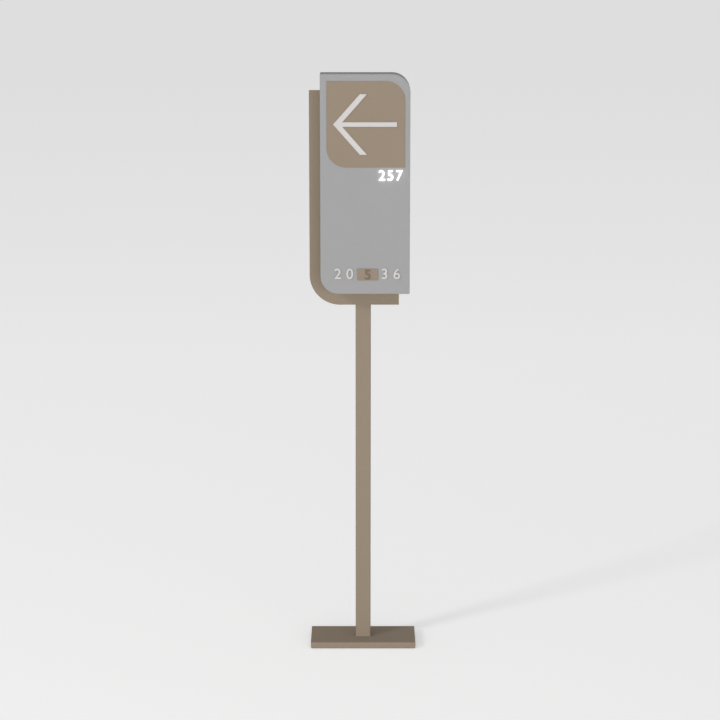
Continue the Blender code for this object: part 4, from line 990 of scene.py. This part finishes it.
@dataclass
class LightBox:
    """Folded shell with its drain slots, countersunk holes and screws."""

    finishes: Finishes
    number_tool: Workpiece
    corner: float = 58 * MM
    bend: float = 2.5 * MM
    bend_steps: int = 5
    sheet: float = 2 * MM
    drain_count: int = 3
    drain_pitch: float = 34 * MM
    drain_length: float = 20 * MM
    drain_width: float = 4 * MM
    drain_corner: float = 1.92 * MM
    drain_from_face: float = 16 * MM
    head: float = 3 * MM
    head_edge: float = 0.12 * MM
    head_rim: float = 0.2 * MM
    shank: float = 1.5 * MM
    screw_length: float = 7 * MM
    screw_steps: int = 32
    hole_play: float = 0.5 * MM
    hole_sink: float = 0.3 * MM
    hole_above: float = 2 * MM
    hole_below: float = 3 * MM
    key_width: float = 2 * MM
    key_depth: float = 1 * MM
    near: float = 1 * MM

    def build(self) -> None:
        """Builds the pieces."""
        self.build_shell()
        self.build_screws()

    def build_shell(self) -> None:
        """Builds the face and its returns in one skin, then gives it its wall and its holes."""
        box = Bounds.of("front_shell")
        shell = Workpiece.panel("box_shell", box, self.corner)
        shell.round_corner(Pick(x=box.left, z=box.high), self.bend, self.bend_steps)
        shell.round_corner(Pick(x=box.right, z=box.low), self.bend, self.bend_steps)
        shell.extrude(box.front - box.back).remove_faces(Pick(y=box.back))
        shell.ease(Pick(y=box.front), self.bend, self.bend_steps).thicken(self.sheet)
        shell.cut(*self.drain_tools(box), *self.screw_tools(), self.number_tool)
        drill_for_studs(shell, box.front)
        shell.finish(self.finishes.grey, "front_shell")

    def drain_tools(self, box: Bounds) -> list[Workpiece]:
        """Makes the tools for the drain slots in the bottom return.

        Args:
            box: The shell's box.

        Returns:
            The tools.
        """
        tools = []
        half = Vector((self.drain_length / 2, self.drain_width / 2, 1.5 * self.sheet))
        for index in range(self.drain_count):
            x = box.middle.x + (index - (self.drain_count - 1) / 2) * self.drain_pitch
            middle = Vector((x, box.front + self.drain_from_face, box.low + self.sheet / 2))
            tool = Workpiece.block("drain_tool", middle - half, middle + half)
            tools.append(tool.ease(Pick(along=2), self.drain_corner, steps=6))
        return tools

    def screw_seats(self) -> list[tuple[str, Point, Facing]]:
        """Lists the edge screws: the node, the middle of the head's face, and the way that it faces."""
        box = Bounds.of("front_shell")
        seats = []
        for number in range(1, 7):
            node = f"edge_screw_{number}"
            screw = Bounds.of(node)
            x, y, z = screw.middle
            if abs(screw.left - box.left) < self.near:
                seats.append((node, (box.left, y, z), Facing.LEFTWARD))
            elif abs(screw.right - box.right) < self.near:
                seats.append((node, (box.right, y, z), Facing.RIGHTWARD))
            else:
                seats.append((node, (x, y, box.low), Facing.DOWNWARD))
        return seats

    def screw_body(self, name: str, grow: float, above: float, rim: float, length: float) -> Workpiece:
        """Makes a countersunk screw, or the tool for its hole, at the origin facing up.

        Args:
            name: Its name.
            grow: Added to each radius.
            above: Height of its rim above the surface.
            rim: Depth of its rim below the surface.
            length: Length below the surface.

        Returns:
            The piece.
        """
        head, shank, sink = self.head + grow, self.shank + grow, self.head - self.shank
        body = Workpiece.rod(name, head, above + rim, (0, 0, (above - rim) / 2), steps=self.screw_steps)
        return body.neck(-rim, shank / head, -sink, rim + sink - length)

    def screw_tools(self) -> list[Workpiece]:
        """Makes the tools for the countersunk holes."""
        rim = self.head_rim + self.hole_sink
        model = self.screw_body("hole_model", self.hole_play, self.hole_above, rim, self.hole_below)
        tools = [model.copy_to("screw_hole_tool", place, facing) for _, place, facing in self.screw_seats()]
        model.remove()
        return tools

    def build_screws(self) -> None:
        """Builds one screw with its hexagon socket, and copies it to each seat."""
        model = self.screw_body("edge_screw_model", 0.0, 0.0, self.head_rim, self.screw_length)
        model.ease(Pick(z=0.0), self.head_edge, steps=2)
        model.cut(Workpiece.key(self.key_width, self.key_depth, 0.0))
        for number, (node, place, facing) in enumerate(self.screw_seats(), 1):
            model.copy_to(f"box_screw_{number}", place, facing).finish(self.finishes.zinc, node)
        model.remove()


@dataclass
class DirectionPanel:
    """Inset panel and the raised arrow on it, each finished by a few millimetres from its solid."""

    finishes: Finishes
    corner: float = 62 * MM
    edge: float = 0.25 * MM
    trim_top: float = 3 * MM
    trim_bottom: float = 2.3 * MM
    shaft: float = 14.5 * MM
    stroke: float = 17.2 * MM
    angle: float = math.radians(48.5)
    tip_reach: float = 2.4 * MM
    tail_trim: float = 1.2 * MM
    arrow_thickness: float = 3 * MM
    arrow_edge: float = 0.5 * MM
    stud: float = 2 * MM

    def build(self) -> None:
        """Builds the pieces."""
        self.build_inset()
        self.build_arrow()

    def build_inset(self) -> None:
        """Builds the inset panel."""
        box = Bounds.of("inset_plate")
        box = replace(box, low=box.low + self.trim_bottom, high=box.high - self.trim_top)
        panel = Workpiece.panel("inset_panel", box, self.corner, steps=28)
        panel.extrude(box.front - box.back).ease(Pick(y=box.front), self.edge)
        drill_for_studs(panel, box.front)
        panel.finish(self.finishes.taupe, "inset_plate")

    def build_arrow(self) -> None:
        """Builds the arrow: half its outline by hand, then its mirror, its thickness and its studs."""
        box = Bounds.of("arrow_plate")
        middle, half = box.middle.z, self.shaft / 2
        back = box.front + self.arrow_thickness
        slope = math.tan(self.angle)
        arm, run = self.stroke / math.sin(self.angle), (box.high - middle) / slope
        tip, tail = box.left - self.tip_reach, box.right - self.tail_trim
        arrow = Workpiece.sheet("arrow", (tip, tip + arm), (middle, box.high), back)
        arrow.edit(Domain.EDGES, Pick(z=box.high), lambda: bpy.ops.transform.translate(value=(run, 0, 0)))
        arrow.edit(
            Domain.FACES, Pick(),
            lambda: bpy.ops.mesh.bisect(plane_co=(0, 0, middle + half), plane_no=(0, 0, 1)))
        lean = half / slope / 2
        inner_edge = Pick(x=tip + arm + lean, slack=lean + MERGE)
        arrow.edit(Domain.EDGES, inner_edge, push(0, 0, 0), scale((0, 1, 1), (tail, back, middle)))
        mirror = added(bpy.ops.object.empty_add, location=(0, 0, middle))
        arrow.modify(
            "MIRROR", use_axis=(False, False, True), use_mirror_merge=True, merge_threshold=MERGE,
            mirror_object=mirror,
        )
        bpy.data.objects.remove(mirror)
        arrow.edit(Domain.POINTS, Pick(), merge(MERGE), turn_outwards,
                   lambda: bpy.ops.mesh.dissolve_limited(angle_limit=math.radians(1)))
        arrow.extrude(box.front - back).ease(Pick(y=box.front), self.arrow_edge)
        length = box.back - back + self.arrow_thickness / 2
        for stud in middles("stud_nut", 3):
            place = (stud.x, box.back - length / 2, stud.z)
            pin = Workpiece.rod("stud", self.stud, length, place, Facing.FORWARD, SMALL_HOLE_STEPS)
            arrow.combine("UNION", pin)
        arrow.finish(self.finishes.off_white, "arrow_plate")


@dataclass(frozen=True)
class DigitStyle:
    """How digits are cut."""

    height: float
    weight: float
    edge: float
    spacing: float = 1.0
    font_ratio: float = 1.4
    edge_steps: int = 2
    curve_steps: int = 10


@dataclass
class Numerals:
    """Plain raised numbers: the lit one under the inset, and the row near the bottom."""

    finishes: Finishes
    lit_text: str = "257"
    lit_style: DigitStyle = DigitStyle(height=33 * MM, weight=0.0, edge=0.3 * MM, spacing=1.16)
    lit_play: float = 0.25 * MM
    lit_middle: tuple[float, float] = (0.0875, 1.5947)
    tool_reach: float = 5 * MM
    row_text: str = "20536"
    row_x: tuple[float, ...] = (-0.082, -0.0435, 0.014, 0.0685, 0.108)
    row_style: DigitStyle = DigitStyle(height=34.5 * MM, weight=0.011, edge=0.35 * MM)
    row_z: float = 1.277
    proud: float = 4.5 * MM
    plate_x: tuple[float, float] = (-0.02, 0.0485)
    plate_height: float = 38.5 * MM
    plate_drop: float = 2.9 * MM
    plate_style: DigitStyle = DigitStyle(height=32 * MM, weight=0.011, edge=0.35 * MM)
    plate_thickness: float = 2 * MM
    plate_corner: float = 3 * MM
    plate_edge: float = 0.3 * MM
    film: float = 0.1 * MM

    @staticmethod
    def glyphs(name: str, text: str, style: DigitStyle, middle: Sequence[float], depths: tuple[float, float],
               grow: float = 0.0) -> Workpiece:
        """Makes upright numbers as a solid.

        Args:
            name: Its name.
            text: The digits.
            style: Their style.
            middle: Middle of the line in X and Z.
            depths: Places in Y of the front and the back.
            grow: Added all round the outline, on a tool, which has sharp edges.

        Returns:
            The solid.
        """
        edge = 0.0 if grow else style.edge
        data = added(bpy.ops.object.text_add, rotation=Facing.FORWARD.value).data
        data.body = text
        data.size = style.font_ratio * style.height
        data.offset = style.weight * data.size + grow - edge
        data.extrude = (depths[1] - depths[0]) / 2 - edge
        data.bevel_depth, data.bevel_resolution = edge, style.edge_steps
        data.resolution_u = style.curve_steps
        data.space_character = style.spacing
        bpy.ops.object.convert(target="MESH")
        piece = Workpiece(name)
        corners = [Vector(corner) for corner in piece.object.bound_box]
        low = Vector(min(corner[axis] for corner in corners) for axis in range(3))
        high = Vector(max(corner[axis] for corner in corners) for axis in range(3))
        centre, ratio = (low + high) / 2, (style.height + 2 * grow) / (high.z - low.z)
        move = Vector((middle[0], sum(depths) / 2, middle[1])) - centre
        return piece.edit(
            Domain.POINTS, Pick(), merge(0.5 * MERGE), turn_outwards, scale((ratio, 1, ratio), centre),
            lambda: bpy.ops.transform.translate(value=move),
        )

    def lit_tool(self) -> Workpiece:
        """Makes the tool that cuts the lit number's way through the face."""
        face = Bounds.of("front_shell").front
        depths = (face - self.tool_reach, face + self.tool_reach)
        return self.glyphs("lit_tool", self.lit_text, self.lit_style, self.lit_middle, depths, self.lit_play)

    def build(self) -> None:
        """Builds the pieces."""
        face = Bounds.of("front_shell").front
        front, lit_back = face - self.proud, Bounds.of("led_diffuser").front - self.film
        lit = self.glyphs("lit_number", self.lit_text, self.lit_style, self.lit_middle, (front, lit_back))
        lit.finish(self.finishes.lit)
        self.build_plate(face - self.film)
        for digit, x in zip(self.row_text, self.row_x):
            style, look, z, back = self.row_style, self.finishes.off_white, self.row_z, face - self.film
            if self.plate_x[0] < x < self.plate_x[1]:
                style, look = self.plate_style, self.finishes.dark_taupe
                z, back = z - self.plate_drop, back - self.plate_thickness - self.film
            self.glyphs(f"row_number_{digit}", digit, style, (x, z), (front, back)).finish(look)

    def build_plate(self, back: float) -> None:
        """Builds the small plate under the middle digit.

        Args:
            back: Place of its back in Y.
        """
        middle, half = self.row_z - self.plate_drop, self.plate_height / 2
        z_range = (middle - half, middle + half)
        plate = Workpiece.sheet("row_plate", self.plate_x, z_range, back)
        for x in self.plate_x:
            for z in z_range:
                plate.round_corner(Pick(x=x, z=z), self.plate_corner, steps=6)
        plate.extrude(-self.plate_thickness).ease(Pick(y=back - self.plate_thickness), self.plate_edge)
        plate.finish(self.finishes.taupe)


@dataclass
class Studio:
    """Pale floor, soft light and the camera at the photograph's angle."""

    focal_length: float = 112.0
    sensor_width: float = 36.0
    clip_end: float = 500.0
    pitch: float = math.radians(11.98)
    camera_place: Point = (-0.0105, -7.2234, 2.5028)
    world_level: float = 0.34
    backdrop_level: float = 0.73
    sun_strength: float = 0.62
    sun_spread: float = math.radians(10)
    sun_azimuth: float = math.radians(39.5)
    sun_height: float = math.radians(28)
    front_power: float = 395.0
    front_size: tuple[float, float] = (14.0, 3.0)
    front_place: Point = (0.0, -7.5, 1.4)
    front_aim: Point = (0.0, 0.0, 1.2)
    floor_size: float = 400.0
    floor_paint: float = 0.8
    seen_paint: float = 0.95
    glow_slopes: tuple[float, float, float] = (0.0768, 0.2122, 0.3834)
    glow_levels: tuple[float, float, float] = (0.317, 0.37, 0.345)
    glow_tilt: float = 0.3
    glow_reach: float = 1.5

    def build(self) -> None:
        """Builds the studio."""
        bpy.context.scene.view_settings.view_transform = "Standard"
        self.build_camera()
        self.build_floor()
        self.build_world()
        self.build_lamps()

    def build_camera(self) -> None:
        """Adds the camera."""
        turn = (math.pi / 2 - self.pitch, 0, 0)
        camera = added(bpy.ops.object.camera_add, location=self.camera_place, rotation=turn)
        camera.data.lens, camera.data.sensor_width = self.focal_length, self.sensor_width
        camera.data.clip_end = self.clip_end
        bpy.context.scene.camera = camera

    @staticmethod
    def grey(level: float) -> tuple[float, float, float, float]:
        """Returns an opaque grey."""
        return level, level, level, 1.0

    @staticmethod
    def turn_to(aim: Vector) -> Euler:
        """Returns the turn that points a light's beam along a direction."""
        return aim.to_track_quat("-Z", "Y").to_euler()

    def glow(self, shader: Shader) -> Socket:
        """Makes the floor's painted light, an emission by how steeply the camera looks at a place, and
        stronger at the left.

        Args:
            shader: The floor's material.

        Returns:
            The level of the light.
        """
        _, back, height = self.camera_place
        far, middle, near = self.glow_slopes
        far_level, middle_level, near_level = self.glow_levels
        # Painted light on the floor: brighter where the camera looks down more steeply, and brighter at the
        # left.
        slope = (height / (shader.along("Y") - back).at_least(height)).at_most(near)
        across = shader.along("X").at_least(-self.glow_reach).at_most(self.glow_reach)
        beyond = slope.rise(far, middle, far_level, middle_level, "LINEAR")
        before = slope.rise(middle, near, 0.0, near_level - middle_level, "LINEAR")
        return beyond + before - across * slope * slope * slope * self.glow_tilt

    def build_floor(self) -> None:
        """Adds the pale floor, whose painted light fades a little with distance from the camera."""
        floor = added(bpy.ops.mesh.primitive_plane_add, size=self.floor_size, location=(0, 0, 0))
        floor.name = "studio_floor"
        shader = Shader.named("studio_floor")
        lighting = {"Base Color": self.grey(self.floor_paint)}
        # The emission that the camera sees on the floor is painted light, from glow().
        seen = {"Base Color": self.grey(self.seen_paint), "Emission Color": self.glow(shader),
                "Emission Strength": 1.0}
        matt = {"Roughness": 1.0, "Specular IOR Level": 0.0}
        paints = [shader.add("ShaderNodeBsdfPrincipled", values=paint | matt) for paint in (lighting, seen)]
        floor.data.materials.append(shader.close(shader.choose(*paints)))

    def build_world(self) -> None:
        """Lights evenly from all round, and shows a pale backdrop to what sees it directly."""
        bpy.context.scene.world = bpy.data.worlds.new("studio")
        shader = Shader(bpy.context.scene.world)
        skies = [shader.add("ShaderNodeBackground", values={"Color": self.grey(level), "Strength": 1.0})
                 for level in (self.world_level, self.backdrop_level)]
        shader.close(shader.choose(*skies), "ShaderNodeOutputWorld")

    def build_lamps(self) -> None:
        """Adds the key light from the front left, and the large soft light behind the camera."""
        flat = math.cos(self.sun_height)
        toward = Vector((
            math.cos(self.sun_azimuth) * flat, math.sin(self.sun_azimuth) * flat, -math.sin(self.sun_height)))
        sun = added(bpy.ops.object.light_add, type="SUN", rotation=self.turn_to(toward)).data
        sun.energy, sun.angle = self.sun_strength, self.sun_spread
        aim = Vector(self.front_aim) - Vector(self.front_place)
        lamp = added(
            bpy.ops.object.light_add, type="AREA", location=self.front_place, rotation=self.turn_to(aim))
        lamp.visible_camera = False
        front = lamp.data
        front.shape, (front.size, front.size_y) = "RECTANGLE", self.front_size
        front.energy = self.front_power


def main() -> None:
    """Builds the sign's looks and its studio."""
    logging.basicConfig(level=logging.INFO, format="%(name)s %(message)s")
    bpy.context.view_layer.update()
    Studio().build()
    finishes = Finishes()
    finishes.dress_nodes()
    numerals = Numerals(finishes)
    assemblies = (
        Foot(finishes), Mast(finishes), RearPanel(finishes), LightBox(finishes, numerals.lit_tool()),
        DirectionPanel(finishes), numerals,
    )
    for assembly in assemblies:
        assembly.build()


if __name__ == "__main__":
    main()
